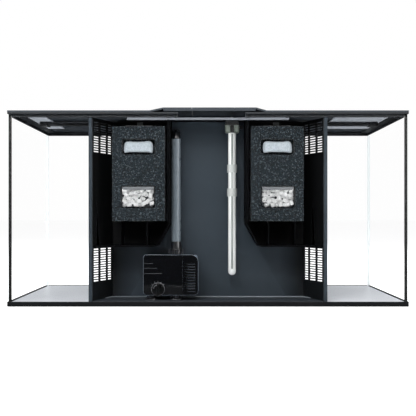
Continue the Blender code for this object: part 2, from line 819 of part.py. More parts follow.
def cartridge(side, side_name, foam, plastic, fleece, ceramic):
    """One foam block with its handle, its fleece pouch above and its bag of ceramic rings below."""
    block_x = span(side, *foam_x)
    pouch_x = span(side, foam_x[0] + POCKET_INNER, foam_x[1] - POUCH_OUTER)
    media_x = span(side, foam_x[0] + POCKET_INNER, foam_x[1] - MEDIA_OUTER)
    block_low = (block_x[0], foam_rear, FOAM_BOTTOM)
    block = box(f"foam_block_{side_name}", block_low, (block_x[1], foam_front, foam_top), foam)
    pouch_top = foam_top - POUCH_BELOW_TOP
    pouch_bottom = pouch_top - POUCH_HEIGHT
    media_bottom = FOAM_BOTTOM + MEDIA_ABOVE_BOTTOM
    media_top = media_bottom + MEDIA_HEIGHT
    room = 0.0012
    pockets = [
        box(
            f"cut_pocket_{side_name}_{i}",
            (across[0] - room, foam_rear - 0.01, low - room),
            (across[1] + room, foam_rear + POCKET_DEPTH, high + room),
        )
        for i, (across, low, high) in enumerate(
            ((pouch_x, pouch_bottom, pouch_top), (media_x, media_bottom, media_top))
        )
    ]
    cut(block, *pockets)
    media_y = (foam_rear + 0.0005, foam_rear + POCKET_DEPTH - room)
    pouch_corners = (pouch_x[0], pouch_bottom), (pouch_x[1], pouch_top)
    pouch_outline = rounded_box_outline(*pouch_corners, (0.003, 0.003, 0.010, 0.010))
    pouch = prism(f"fleece_pouch_{side_name}", pouch_outline, *media_y, fleece, axis="Y")
    bag_corners = (media_x[0], media_bottom), (media_x[1], media_top)
    bag_outline = rounded_box_outline(*bag_corners, (0.008, 0.008, 0.002, 0.002))
    bag = prism(f"ceramic_media_bag_{side_name}", bag_outline, *media_y, ceramic, axis="Y")
    middle_y = (foam_rear + foam_front) / 2
    handle = box(
        f"cartridge_handle_{side_name}",
        (side * handle_x - 0.028, middle_y - 0.018, foam_top + GAP),
        (side * handle_x + 0.028, middle_y + 0.018, foam_top + GAP + HANDLE_PLATE),
        plastic,
    )
    tab = box(
        f"add_handle_tab_{side_name}",
        (side * handle_x - HANDLE_WIDTH / 2, middle_y - 0.0015, foam_top + GAP + HANDLE_PLATE / 2),
        (side * handle_x + HANDLE_WIDTH / 2, middle_y + 0.0015, foam_top + HANDLE_HEIGHT),
    )
    join(handle, tab)
    pieces = [block, pouch, bag, handle]
    hang(f"cartridge_{side_name}", (side * handle_x, middle_y, FOAM_BOTTOM), pieces)


# ---------------------------------------------------------------- pump


def pump_block(name, low_x, high_x, material):
    """The stretch of the pump's rounded body between two upright planes."""
    corners = (PUMP_LEFT, pump_bottom), (pump_right, pump_top)
    outline = rounded_box_outline(*corners, (0.008, 0.009, PUMP_CORNER, 0.006))
    body = prism(name, outline, pump_rear, pump_rear + pump_depth, material, axis="Y")
    round_edges(body, PUMP_EDGE, 4, 60)
    keep_low = (low_x, pump_rear - 0.01, pump_bottom - 0.01)
    keep_high = (high_x, pump_rear + pump_depth + 0.01, pump_top + 0.01)
    return boolean(body, "INTERSECT", box(f"keep_{name}", keep_low, keep_high))


def along_x(name, low, high, radius, material=None, sides=24):
    return rod(name, (low, pump_y, axis_z), (high, pump_y, axis_z), radius, material, sides)


def pump_housing(plastic):
    """The motor block, with the rotor's well, the impeller chamber and the outlet bored in it."""
    housing = pump_block("pump_housing", PUMP_LEFT - 0.01, seam_x, plastic)
    well = along_x("cut_rotor_well", rotor_x[0] - 0.002, vane_x[0], ROTOR_RADIUS + RUN_CLEARANCE)
    chamber = along_x("cut_impeller_chamber", vane_x[0] - 0.001, seam_x + 0.01, CHAMBER_RADIUS)
    outlet = rod(
        "cut_outlet_bore", (outlet_x, pump_y, axis_z), (outlet_x, pump_y, pump_top + 0.01), PIPE_RADIUS + GAP
    )
    shaft_seat = along_x("cut_shaft_seat", rotor_x[0] - 0.006, rotor_x[0], SHAFT_RADIUS + GAP, sides=12)
    recess = rod(
        "cut_dial_recess",
        (dial_x, pump_rear - 0.01, pump_bottom + DIAL_ABOVE_BOTTOM),
        (dial_x, pump_rear + DIAL_RECESS, pump_bottom + DIAL_ABOVE_BOTTOM),
        DIAL_RADIUS + 0.0006,
    )
    return cut(housing, well, chamber, outlet, shaft_seat, recess)


def volute_cover(plastic):
    """The disc that closes the impeller chamber, with the inlet in its middle."""
    disc = along_x("volute_cover", seam_x - 0.0045, seam_x - GAP, CHAMBER_RADIUS - GAP, plastic)
    return cut(disc, along_x("cut_inlet", seam_x - 0.02, seam_x + 0.02, 0.0075, sides=16))


def pump_intake_cover(plastic):
    """The hollow end cover, slotted on both faces so that water can enter."""
    cover = pump_block("pump_intake_cover", seam_x + GAP, pump_right + 0.01, plastic)
    corners = (seam_x - 0.02, pump_bottom + COVER_WALL), (pump_right - COVER_WALL, pump_top - COVER_WALL)
    hollow = rounded_box_outline(*corners, (0.001, 0.007, PUMP_CORNER - COVER_WALL, 0.001))
    room = (pump_rear + COVER_WALL, pump_rear + pump_depth - COVER_WALL)
    inside = prism("cut_cover_inside", hollow, *room, axis="Y")
    middle_z = (pump_bottom + pump_top) / 2 - 0.004
    places = []
    for i in range(GRILLE_SLOTS):
        level = middle_z + (i - (GRILLE_SLOTS - 1) / 2) * GRILLE_PITCH
        centre = ((seam_x + pump_right) / 2 - 0.001, pump_y, level)
        size = (pump_right - seam_x - 0.012, pump_depth * 2, GRILLE_SLOT, 1.0)
        places.append(Matrix.Translation(centre) @ Matrix.Diagonal(size))
    return cut(cover, inside, boxes("cut_grille", places))


def impeller(magnet):
    """The rotor magnet with its hub and six flat vanes, on the shaft."""
    rotor = along_x("impeller", *rotor_x, ROTOR_RADIUS, magnet)
    hub = along_x("add_impeller_hub", rotor_x[1] - 0.002, vane_x[1] + 0.0006, HUB_RADIUS)
    low_x, high_x = vane_x[0] + RUN_CLEARANCE, vane_x[1]
    root = HUB_RADIUS * 0.7
    places = []
    for i in range(6):
        turn = Matrix.Rotation(math.radians(60 * i), 4, "X")
        out = Matrix.Translation(((low_x + high_x) / 2, (root + VANE_RADIUS) / 2, 0.0))
        size = Matrix.Diagonal((high_x - low_x, VANE_RADIUS - root, 0.0018, 1.0))
        places.append(Matrix.Translation((0.0, pump_y, axis_z)) @ turn @ out @ size)
    join(rotor, hub, boxes("add_impeller_vanes", places))
    bore = along_x("cut_impeller_bore", rotor_x[0] - 0.01, vane_x[1] + 0.01, SHAFT_RADIUS + GAP, sides=12)
    return cut(rotor, bore)


def flow_dial(plastic):
    """The regulator's round dial on the pump's rear face, with a raised grip bar."""
    z = pump_bottom + DIAL_ABOVE_BOTTOM
    face = pump_rear + DIAL_RECESS - GAP
    dial = rod("flow_dial", (dial_x, face, z), (dial_x, face - DIAL_DEPTH, z), DIAL_RADIUS, plastic)
    bar = box(
        "add_dial_grip",
        (dial_x - 0.0022, face - DIAL_DEPTH - 0.0022, z - DIAL_RADIUS * 0.8),
        (dial_x + 0.0022, face - DIAL_DEPTH + 0.001, z + DIAL_RADIUS * 0.8),
    )
    join(dial, bar)
    hang("flow_dial_axis", (dial_x, face, z), [dial])


def pump_feet(rubber):
    """Four suction cups between the pump and the compartment's floor."""
    profile = [
        (0.0, FOOT_HEIGHT - GAP),
        (0.0052, FOOT_HEIGHT - GAP),
        (0.0046, FOOT_HEIGHT * 0.62),
        (0.0080, FOOT_HEIGHT * 0.35),
        (FOOT_RADIUS, 0.0008),
        (FOOT_RADIUS, 0.0),
        (0.0, 0.0),
    ]
    for x_name, x in (("left", PUMP_LEFT + FOOT_AT[0]), ("right", PUMP_LEFT + FOOT_AT[1])):
        for y_name, y in (("rear", pump_y - FOOT_Y), ("front", pump_y + FOOT_Y)):
            turned(f"pump_foot_{y_name}_{x_name}", profile, (x, y, floor_top + GAP), rubber, steps=20)


def pump_cable_gland(rubber):
    """The strain relief on the motor block's front face, where the cable would leave it."""
    x = PUMP_LEFT + GLAND_AT
    y = pump_rear + pump_depth + GAP
    z = pump_bottom + 0.062
    return rod("pump_cable_gland", (x, y, z), (x, y + 0.006, z), 0.0055, rubber, sides=16, end_radius=0.0042)


# ---------------------------------------------------------------- return line


def ring_profile(outer, inner, low, high):
    return [(outer, high), (outer, low), (inner, low), (inner, high)]


def return_line(plastic, hose_plastic):
    """Spigot, union nut, hose connector, hose, elbow, and the nozzle with its nut on the tank side."""
    centre = (outlet_x, pump_y, 0.0)
    bore = PIPE_RADIUS - PIPE_WALL
    spigot_top = connector_bottom + 0.004
    spigot = turned(
        "pump_outlet",
        ring_profile(PIPE_RADIUS, bore, pump_top - 0.010, spigot_top),
        centre,
        plastic,
        ring=True,
    )
    nut = turned(
        "union_nut",
        ring_profile(NUT_RADIUS, PIPE_RADIUS + GAP, nut_bottom, nut_bottom + NUT_HEIGHT),
        centre,
        plastic,
        ring=True,
    )
    places = []
    for i in range(4):
        turn = Matrix.Rotation(math.radians(90 * i), 4, "Z")
        out = Matrix.Translation((NUT_RADIUS + 0.0008, 0.0, nut_bottom + NUT_HEIGHT / 2))
        size = Matrix.Diagonal((0.0050, 0.0030, NUT_HEIGHT * 0.86, 1.0))
        places.append(Matrix.Translation(centre) @ turn @ out @ size)
    join(nut, boxes("add_nut_wings", places))
    socket = PIPE_RADIUS + GAP
    connector = turned(
        "hose_connector",
        [
            (0.0100, connector_bottom + CONNECTOR_HEIGHT),
            (0.0112, connector_bottom + 0.006),
            (0.0118, connector_bottom),
            (socket, connector_bottom),
            (socket, spigot_top + GAP),
            (bore, spigot_top + GAP),
            (bore, hose_bottom + BARB),
            (PIPE_RADIUS - GAP, hose_bottom + BARB),
            (PIPE_RADIUS - GAP, connector_bottom + CONNECTOR_HEIGHT),
        ],
        centre,
        plastic,
        ring=True,
    )
    flutes = []
    for i in range(12):
        turn = Matrix.Rotation(math.radians(30 * i), 4, "Z")
        out = Matrix.Translation((0.0124, 0.0, connector_bottom + CONNECTOR_HEIGHT * 0.55))
        size = Matrix.Diagonal((0.0040, 0.0022, CONNECTOR_HEIGHT * 0.8, 1.0))
        flutes.append(Matrix.Translation(centre) @ turn @ out @ size)
    cut(connector, boxes("cut_connector_flutes", flutes))
    turned(
        "return_hose",
        ring_profile(HOSE_RADIUS, HOSE_RADIUS - HOSE_WALL, hose_bottom, hose_top),
        centre,
        hose_plastic,
        ring=True,
    )
    end_y = chamber_front + CHAMBER_WALL + 0.010
    bend = arc((pump_y + ELBOW_RADIUS, return_z - ELBOW_RADIUS), ELBOW_RADIUS, 180, 90, 8)
    curve = [(outlet_x, y, z) for y, z in bend]
    route = [(outlet_x, pump_y, hose_top - BARB), *curve, (outlet_x, end_y, return_z)]
    through = [(outlet_x, pump_y, hose_top - 2 * BARB), *curve, (outlet_x, end_y + 0.01, return_z)]
    elbow = tube("return_elbow", route, PIPE_RADIUS - GAP, plastic)
    cut(elbow, tube("cut_elbow_bore", through, bore))
    collar_profile = ring_profile(HOSE_RADIUS, PIPE_RADIUS - 0.0009, hose_top + GAP, hose_top + 0.0022)
    collar = turned("add_elbow_collar", collar_profile, centre, ring=True)
    return join(elbow, collar)


def nozzle(plastic):
    """The nut that clamps the elbow to the front wall, and the flat nozzle that swivels on its end."""
    wall_face = chamber_front + CHAMBER_WALL + GAP
    nut_end = wall_face + 0.006
    ends = (outlet_x, wall_face, return_z), (outlet_x, nut_end, return_z)
    sides = rod("nozzle_nut", *ends, 0.0135, plastic, 6)
    bore = (outlet_x, wall_face - 0.02, return_z), (outlet_x, nut_end + 0.02, return_z)
    cut(sides, rod("cut_nozzle_nut", *bore, PIPE_RADIUS))
    start = nut_end + GAP
    socket = rod(
        "return_nozzle", (outlet_x, start, return_z), (outlet_x, start + 0.012, return_z), 0.0100, plastic
    )
    fan = box(
        "add_nozzle_fan",
        (outlet_x - NOZZLE_WIDTH / 2, start + 0.009, return_z - NOZZLE_HEIGHT / 2),
        (outlet_x + NOZZLE_WIDTH / 2, start + NOZZLE_LENGTH, return_z + NOZZLE_HEIGHT / 2),
    )
    slot = box(
        "cut_nozzle_slot",
        (outlet_x - NOZZLE_WIDTH / 2 + 0.002, start + 0.011, return_z - NOZZLE_HEIGHT / 2 + 0.002),
        (
            outlet_x + NOZZLE_WIDTH / 2 - 0.002,
            start + NOZZLE_LENGTH + 0.01,
            return_z + NOZZLE_HEIGHT / 2 - 0.002,
        ),
    )
    inside = rod(
        "cut_nozzle_socket",
        (outlet_x, start - 0.01, return_z),
        (outlet_x, start + 0.0115, return_z),
        PIPE_RADIUS,
    )
    join(socket, fan)
    cut(socket, slot, inside)
    hang("return_nozzle_axis", (outlet_x, start, return_z), [socket])


# ---------------------------------------------------------------- heater


def heater(glass, ceramic, head_plastic, black_plastic, rubber):
    """A glass tube with its element, the head with a slot, a black block, the collar and its knob."""
    centre = (HEATER_X, heater_y, 0.0)
    tube_top = head_bottom - GAP
    inner = HEATER_RADIUS - HEATER_WALL
    dome_z = HEATER_BOTTOM + HEATER_RADIUS
    outer_dome = arc((0.0, dome_z), HEATER_RADIUS, 0, -90, 5)
    inner_dome = arc((0.0, dome_z), inner, -90, 0, 5)
    profile = [(HEATER_RADIUS, tube_top), *outer_dome[:-1], (0.0, HEATER_BOTTOM)]
    profile += [(0.0, dome_z - inner), *inner_dome[1:], (inner, tube_top)]
    turned("heater_tube", profile, centre, glass, steps=20, ring=True)
    rod(
        "heater_element",
        (HEATER_X, heater_y, dome_z + 0.004),
        (HEATER_X, heater_y, tube_top - 0.004),
        0.0045,
        ceramic,
        16,
    )
    head = box(
        "heater_head",
        (HEATER_X - HEAD_HALF_WIDTH, heater_y - 0.0105, head_bottom),
        (HEATER_X + HEAD_HALF_WIDTH, heater_y + 0.0105, head_top),
        head_plastic,
        edge=0.002,
    )
    slot = box(
        "cut_head_slot",
        (HEATER_X - 0.0045, heater_y - 0.02, head_bottom - 0.01),
        (HEATER_X + 0.0045, heater_y - 0.004, head_top - 0.0035),
    )
    cut(head, slot)
    block_top = head_top + BLOCK_HEIGHT
    collar_low = block_top - 0.0015
    block = box(
        "heater_collar",
        (HEATER_X - 0.0140, heater_y - 0.009, head_top + GAP),
        (HEATER_X + 0.0140, heater_y + 0.009, block_top),
        black_plastic,
        edge=0.0015,
    )
    ring = rod(
        "add_collar_ring",
        (HEATER_X, heater_y, collar_low),
        (HEATER_X, heater_y, block_top + 0.0050),
        0.0070,
        end_radius=0.0118,
        sides=20,
    )
    well = rod(
        "cut_collar_well",
        (HEATER_X, heater_y, block_top - 0.0020),
        (HEATER_X, heater_y, block_top + 0.02),
        KNOB_RADIUS + 0.0010,
        end_radius=0.0180,
        sides=20,
    )
    join(block, ring)
    cut(block, well)
    knob_low = block_top - 0.0020 + GAP
    knob = rod(
        "heater_knob",
        (HEATER_X, heater_y, knob_low),
        (HEATER_X, heater_y, knob_low + KNOB_HEIGHT),
        KNOB_RADIUS,
        head_plastic,
        12,
    )
    pointer = box(
        "cut_knob_slot",
        (HEATER_X - 0.0005, heater_y - 0.01, knob_low + KNOB_HEIGHT - 0.0015),
        (HEATER_X + 0.0005, heater_y + 0.01, knob_low + KNOB_HEIGHT + 0.01),
    )
    cut(knob, pointer)
    hang("heater_knob_axis", (HEATER_X, heater_y, knob_low), [knob])
    rod(
        "heater_cable_gland",
        (HEATER_X + HEAD_HALF_WIDTH + GAP, heater_y, head_top - 0.007),
        (HEATER_X + 0.0235, heater_y, head_top - 0.007),
        0.0042,
        rubber,
        12,
        end_radius=0.0030,
    )


def heater_clips(rubber):
    """Two rubber rings on the tube, each with an arm and a suction cup on the front wall."""
    upper = head_bottom - CLIP_BELOW_HEAD
    for name, level in (("lower", upper - CLIP_SPACING), ("upper", upper)):
        low, high = level - CLIP_HEIGHT / 2, level + CLIP_HEIGHT / 2
        clip = turned(
            f"heater_clip_{name}",
            ring_profile(HEATER_RADIUS + GAP + CLIP_WALL, HEATER_RADIUS + GAP, low, high),
            (HEATER_X, heater_y, 0.0),
            rubber,
            steps=20,
            ring=True,
        )
        cup_end = chamber_front - GAP
        arm = rod(
            f"add_clip_arm_{name}",
            (HEATER_X, heater_y + HEATER_RADIUS + 0.0012, level),
            (HEATER_X, cup_end - 0.003, level),
            0.0040,
            sides=12,
        )
        cup = rod(
            f"add_clip_cup_{name}",
            (HEATER_X, cup_end - 0.007, level),
            (HEATER_X, cup_end, level),
            0.0055,
            sides=20,
            end_radius=CUP_RADIUS,
        )
        join(clip, arm, cup)


# ---------------------------------------------------------------- build

clear_scene()
PART = new_collection("rear_filter_aquarium")
CUTTERS = new_collection("cutters")

GLASS_CLEAR = new_material("clear_glass", (0.86, 0.92, 0.92), 0.03, transmission=1.0)
SILICONE = new_material("black_silicone", (0.012, 0.013, 0.014), 0.45)
TRIM = new_material("base_trim_plastic", (0.012, 0.019, 0.027), 0.40)
FRAME = new_material("top_frame_plastic", (0.030, 0.040, 0.052), 0.42)
HOOD = new_material("hood_plastic", (0.034, 0.044, 0.055), 0.45)
FLAP = new_material("flap_plastic", (0.032, 0.042, 0.053), 0.45)
RAIL = new_material("rail_plastic", (0.33, 0.35, 0.38), 0.40)
LINER_GREY = new_material("liner_plastic", (0.17, 0.19, 0.21), 0.50)
LAMP_BLACK = new_material("lamp_plastic", (0.010, 0.011, 0.013), 0.35)
BRACKET = new_material("bracket_plastic", (0.008, 0.009, 0.010), 0.45)
LENS_WHITE = new_material("lamp_lens_plastic", (0.60, 0.62, 0.62), 0.25)
BOARD = new_material("led_board_white", (0.70, 0.70, 0.68), 0.55)
STEEL = new_material("hinge_pin_steel", (0.55, 0.56, 0.57), 0.30, metallic=1.0)
SHELL = new_material("compartment_plastic", (0.028, 0.038, 0.048), 0.45)
FLOOR = new_material("compartment_floor_plastic", (0.045, 0.058, 0.072), 0.45)
DIVIDER = new_material("divider_plastic", (0.008, 0.010, 0.013), 0.42)
FOAM = new_material("foam", (0.030, 0.040, 0.046), 0.95)
HANDLE = new_material("handle_plastic", (0.035, 0.040, 0.045), 0.45)
FLEECE = new_material("fleece", (0.62, 0.68, 0.72), 0.90)
CERAMIC = new_material("ceramic_rings", (0.75, 0.76, 0.76), 0.75)
PUMP = new_material("pump_plastic", (0.006, 0.007, 0.009), 0.18)
PUMP_COVER = new_material("pump_cover_plastic", (0.006, 0.007, 0.009), 0.20)
VOLUTE = new_material("volute_plastic", (0.010, 0.011, 0.013), 0.30)
MAGNET = new_material("impeller_ferrite", (0.045, 0.042, 0.040), 0.40)
SHAFT = new_material("shaft_ceramic", (0.80, 0.80, 0.78), 0.20)
DIAL = new_material("dial_plastic", (0.014, 0.016, 0.018), 0.30)
FOOT = new_material("foot_rubber", (0.010, 0.010, 0.011), 0.30)
FITTING = new_material("fitting_plastic", (0.009, 0.010, 0.012), 0.25)
NOZZLE = new_material("nozzle_plastic", (0.010, 0.011, 0.013), 0.35)
HOSE = new_material("hose_pvc", (0.16, 0.19, 0.22), 0.25)
HEATER_GLASS = new_material("heater_glass", (0.85, 0.88, 0.87), 0.08)
ELEMENT = new_material("heater_ceramic", (0.36, 0.39, 0.39), 0.60)
HEAD = new_material("heater_head_plastic", (0.16, 0.20, 0.17), 0.45)
CLIP = new_material("clip_rubber", (0.05, 0.055, 0.055), 0.55)

base_trim(TRIM)
panes(GLASS_CLEAR)
corner_seals(SILICONE)
top_frame(FRAME)
top_rail(RAIL)

flap = service_flap(FLAP)
hood_pieces = [hood_shell(HOOD), hinge_pin(STEEL), *hood_liners(LINER_GREY)]
hood_pieces += lamp(LAMP_BLACK, LENS_WHITE, BOARD) + lamp_brackets(BRACKET)
flap_pivot = hang("service_flap_hinge", ((FLAP_X[0] + FLAP_X[1]) / 2, flap_front, hinge_z), [flap])
hang("hood", (0.0, 0.0, hood_bottom), [*hood_pieces, flap_pivot])

compartment_shell(SHELL)
compartment_floor(FLOOR)
divider(-1, "divider_left", DIVIDER)
divider(1, "divider_right", DIVIDER)
cartridge(-1, "left", FOAM, HANDLE, FLEECE, CERAMIC)
cartridge(1, "right", FOAM, HANDLE, FLEECE, CERAMIC)

pump_housing(PUMP)
pump_intake_cover(PUMP_COVER)
volute_cover(VOLUTE)
hang("impeller_axis", (rotor_x[0], pump_y, axis_z), [impeller(MAGNET)])
along_x("impeller_shaft", rotor_x[0] - 0.0055, vane_x[1] + 0.0012, SHAFT_RADIUS, SHAFT, 12)
flow_dial(DIAL)
pump_feet(FOOT)
pump_cable_gland(FOOT)
return_line(FITTING, HOSE)
nozzle(NOZZLE)

heater(HEATER_GLASS, ELEMENT, HEAD, DIVIDER, FOOT)
heater_clips(CLIP)
bpy.context.view_layer.update()
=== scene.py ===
"""Looks of the rear-filter aquarium: surfaces, filter media, small moulded detail, floor, lights and camera.

Metres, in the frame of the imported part: -Y is the service side, Z is up. Places come from the frame's nodes.
"""

import math
import random

import bmesh
import bpy
from mathutils import Matrix, Vector


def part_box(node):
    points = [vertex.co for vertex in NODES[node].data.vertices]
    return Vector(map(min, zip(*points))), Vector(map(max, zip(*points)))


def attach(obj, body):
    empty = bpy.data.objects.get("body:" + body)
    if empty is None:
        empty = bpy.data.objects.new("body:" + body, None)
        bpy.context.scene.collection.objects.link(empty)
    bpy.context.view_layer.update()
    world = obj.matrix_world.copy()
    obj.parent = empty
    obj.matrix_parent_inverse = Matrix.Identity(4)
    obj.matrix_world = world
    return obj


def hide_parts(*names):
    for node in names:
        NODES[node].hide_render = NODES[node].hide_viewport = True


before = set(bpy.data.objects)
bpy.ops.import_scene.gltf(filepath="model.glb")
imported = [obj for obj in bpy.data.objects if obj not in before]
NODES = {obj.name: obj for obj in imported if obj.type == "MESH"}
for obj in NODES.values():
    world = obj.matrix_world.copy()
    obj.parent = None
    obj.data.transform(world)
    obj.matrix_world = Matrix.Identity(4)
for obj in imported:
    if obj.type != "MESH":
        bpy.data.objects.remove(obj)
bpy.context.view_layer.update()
SIDES = (("left", -1), ("right", 1))
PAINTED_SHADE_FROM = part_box("divider_right")[0].x  # where the media chambers and their painted shade begin, from the middle
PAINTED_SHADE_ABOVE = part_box("divider_right")[0].z  # their trays' underside, above which the painted shade is full
SLANT_TOP = PAINTED_SHADE_ABOVE + 0.047  # below here the dividers slant outwards, down to the trays
SLANT_RUN = 0.58  # how far the slant goes outwards for each metre down
FLANGE_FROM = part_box("compartment_shell")[1].x - 0.0085  # where the shell's flanges begin

# ---------------------------------------------------------------- shader tools


class Look:
    """A material being built, with short ways to add nodes to it."""

    def __init__(self, name):
        self.material = bpy.data.materials.new(name)
        self.material.use_nodes = True
        self.tree = self.material.node_tree
        self.tree.nodes.clear()
        self.output = self.add("OutputMaterial")
        self.place = self.add("TexCoord").outputs["Object"]

    def add(self, kind, inputs=None, **settings):
        node = self.tree.nodes.new("ShaderNode" + kind)
        for key, value in settings.items():
            setattr(node, key, value)
        for key, value in (inputs or {}).items():
            if isinstance(value, bpy.types.NodeSocket):
                self.tree.links.new(value, node.inputs[key])
            else:
                node.inputs[key].default_value = value
        return node

    def noise(self, pitch, detail=2.0, stretch=(1.0, 1.0, 1.0)):
        """Soft random grey whose features are about pitch metres across."""
        place = self.add("Mapping", {"Vector": self.place, "Scale": stretch}).outputs[0]
        return self.add("TexNoise", {"Vector": place, "Scale": 1.0 / pitch, "Detail": detail}).outputs["Fac"]

    def cells(self, pitch):
        """Distance to the nearest of random points about pitch metres apart."""
        return self.add("TexVoronoi", {"Vector": self.place, "Scale": 1.0 / pitch}).outputs["Distance"]

    def spread(self, value, low, high, start=0.0, end=1.0):
        """The value's range from start to end, mapped to low to high and held there."""
        ends = {"Value": value, "From Min": start, "From Max": end, "To Min": low, "To Max": high}
        return self.add("MapRange", ends).outputs["Result"]

    def maths(self, operation, first, second=0.0):
        return self.add("Math", {0: first, 1: second}, operation=operation).outputs[0]

    def part(self, vector, axis):
        """One coordinate of a vector."""
        return self.add("SeparateXYZ", {"Vector": vector}).outputs[axis]

    def blend(self, share, first, second):
        """From the first colour to the second one."""
        mix = self.add("MixRGB", {"Fac": share})
        for key, colour in (("Color1", first), ("Color2", second)):
            if isinstance(colour, bpy.types.NodeSocket):
                self.tree.links.new(colour, mix.inputs[key])
            else:
                mix.inputs[key].default_value = (*colour, 1.0)
        return mix.outputs["Color"]

    def bump(self, height, depth, under=None):
        """A normal raised by depth metres where height is 1."""
        inputs = {"Height": height, "Distance": depth, "Strength": 1.0}
        if under is not None:
            inputs["Normal"] = under
        return self.add("Bump", inputs).outputs["Normal"]

    def scuffed_and_lit_edges(self, radius):
        """1 at sharp edges and 0 on flat faces, from how far a rounded edge would turn the normal."""
        rounded = self.add("Bevel", {"Radius": radius}, samples=4).outputs["Normal"]
        flat = self.add("NewGeometry").outputs["Normal"]
        along = self.add("VectorMath", {0: rounded, 1: flat}, operation="DOT_PRODUCT").outputs["Value"]
        return self.spread(along, 1.0, 0.0, 0.75, 0.995)

    def round_edges(self):
        """1 where the surface of a boxy piece turns from one of its faces to the next."""
        normal = self.add("TexCoord").outputs["Normal"]
        sizes = self.add("VectorMath", {0: normal}, operation="ABSOLUTE").outputs[0]
        parts = self.add("SeparateXYZ", {"Vector": sizes}).outputs
        most = self.maths("MAXIMUM", self.maths("MAXIMUM", parts[0], parts[1]), parts[2])
        return self.spread(most, 1.0, 0.0, 0.80, 0.985)

    def surface(self, **inputs):
        """The principled shader, with its inputs' names written with underscores."""
        named = {key.replace("_", " "): value for key, value in inputs.items()}
        return self.finish(self.add("BsdfPrincipled", named))

    def finish(self, shader):
        """The material, with this shader as its surface."""
        self.tree.links.new(shader.outputs[0], self.output.inputs["Surface"])
        return self.material


def scaled(colour, factor):
    return tuple(channel * factor for channel in colour)


def moulded(name, colour, roughness, grain=0.00003, gloss=0.5, edge_scuff_and_highlight=0.5, painted_edge_highlight=None):
    """Injection-moulded plastic: fine grain, faint clouds of colour, dull patches, and edges lightened partly
    as wear and partly as painted highlight.

    A boxy piece can be given a painted highlight colour for its rounded edges.
    """
    look = Look(name)
    clouds = look.noise(0.09, 3.0)
    shade = look.blend(clouds, scaled(colour, 0.80), scaled(colour, 1.22))
    # Lighter edges in patches: partly wear, partly painted highlight.
    patchy = look.spread(look.noise(0.012), 0.3, 1.0)
    scuff_and_highlight = look.maths("MULTIPLY", look.scuffed_and_lit_edges(0.0009), patchy)
    shade = look.blend(look.maths("MULTIPLY", scuff_and_highlight, edge_scuff_and_highlight), shade, tuple(0.04 + 2.0 * c for c in colour))
    # Painted highlight: a boxy piece's rounded edges in a pale colour.
    if painted_edge_highlight is not None:
        shade = look.blend(look.round_edges(), shade, painted_edge_highlight)
    dull = look.spread(look.noise(0.03, 4.0), roughness * 0.82, min(1.0, roughness * 1.2))
    grained = look.bump(look.noise(0.0007, 1.0), grain)
    waved = look.bump(look.noise(0.035, 1.0), 0.00012, grained)
    return look.surface(
        Base_Color=shade,
        Roughness=dull,
        Normal=waved,
        Specular_IOR_Level=gloss,
    )


def rubber(name, colour, roughness, dust=0.35):
    """Soft rubber or silicone, slightly rippled, with pale dust in patches."""
    look = Look(name)
    patches = look.spread(look.noise(0.006, 5.0), 0.0, dust, 0.5, 0.8)
    shade = look.blend(patches, colour, tuple(0.03 + c for c in colour))
    ripples = look.bump(look.noise(0.004, 2.0), 0.00025)
    return look.surface(
        Base_Color=shade,
        Roughness=look.spread(look.noise(0.002), roughness * 0.8, roughness * 1.2),
        Normal=ripples,
        Specular_IOR_Level=0.4,
    )


def pane_glass(name, across, bonded=False):
    """Clear glass with faintly green cut edges.

    across is the axis that the pane is thin along. A bonded pane's rear edge is black from its adhesive.
    """
    look = Look(name)
    normal = look.add("TexCoord").outputs["Normal"]
    along = look.add("VectorMath", {0: normal, 1: across}, operation="DOT_PRODUCT").outputs["Value"]
    edge = look.spread(look.maths("ABSOLUTE", along), 1.0, 0.0, 0.2, 0.8)
    tint = look.blend(edge, (1.0, 1.0, 1.0), (0.95, 0.975, 0.97))
    if bonded:
        faces_rear = look.spread(look.part(normal, "Y"), 1.0, 0.0, -0.9, -0.5)
        at_rear = look.spread(look.part(look.place, "Y"), 1.0, 0.0, -0.1, 0.0)
        tint = look.blend(look.maths("MULTIPLY", faces_rear, at_rear), tint, (0.004, 0.004, 0.005))
    clear = look.add("BsdfTransparent", {"Color": tint}).outputs[0]
    smears = look.spread(look.noise(0.05, 4.0), 0.0, 0.03, 0.45, 0.8)
    mirror = look.add("BsdfGlossy", {"Color": (0.9, 0.94, 0.93, 1.0), "Roughness": smears}).outputs[0]
    share = look.add("Fresnel", {"IOR": 1.45}).outputs[0]
    outside = look.maths("SUBTRACT", 1.0, look.add("NewGeometry").outputs["Backfacing"])
    share = look.maths("MULTIPLY", look.maths("MULTIPLY", share, outside), 0.10)
    share = look.maths("MINIMUM", share, 0.012)
    return look.finish(look.add("MixShader", {0: share, 1: clear, 2: mirror}))


def painted_bottom_glass():
    """The bottom pane as opaque pale grey with a faint glow: painted reflection and painted light in place of
    clear glass over the floor.
    """
    look = Look("bottom_glass_grey")
    shade = look.blend(look.noise(0.30, 1.0), (0.76, 0.79, 0.83), (0.84, 0.87, 0.91))
    dull = look.spread(look.noise(0.06, 2.0), 0.30, 0.42)
    return look.surface(
        Base_Color=shade,
        Roughness=dull,
        Specular_IOR_Level=0.15,
        # Painted glow.
        Emission_Color=(0.85, 0.90, 1.0, 1.0),
        Emission_Strength=0.10,
    )


def silicone_with_painted_glow():
    """The pale translucent bead between two panes, with a painted glow that keeps it near white."""
    look = Look("silicone_with_painted_glow")
    return look.surface(
        Base_Color=look.blend(look.noise(0.01, 2.0), (0.84, 0.87, 0.88), (0.93, 0.95, 0.96)),
        Roughness=0.5,
        Normal=look.bump(look.noise(0.004, 2.0), 0.0002),
        Specular_IOR_Level=0.2,
        # Painted glow.
        Emission_Color=(0.95, 0.98, 1.0, 1.0),
        Emission_Strength=0.35,
    )


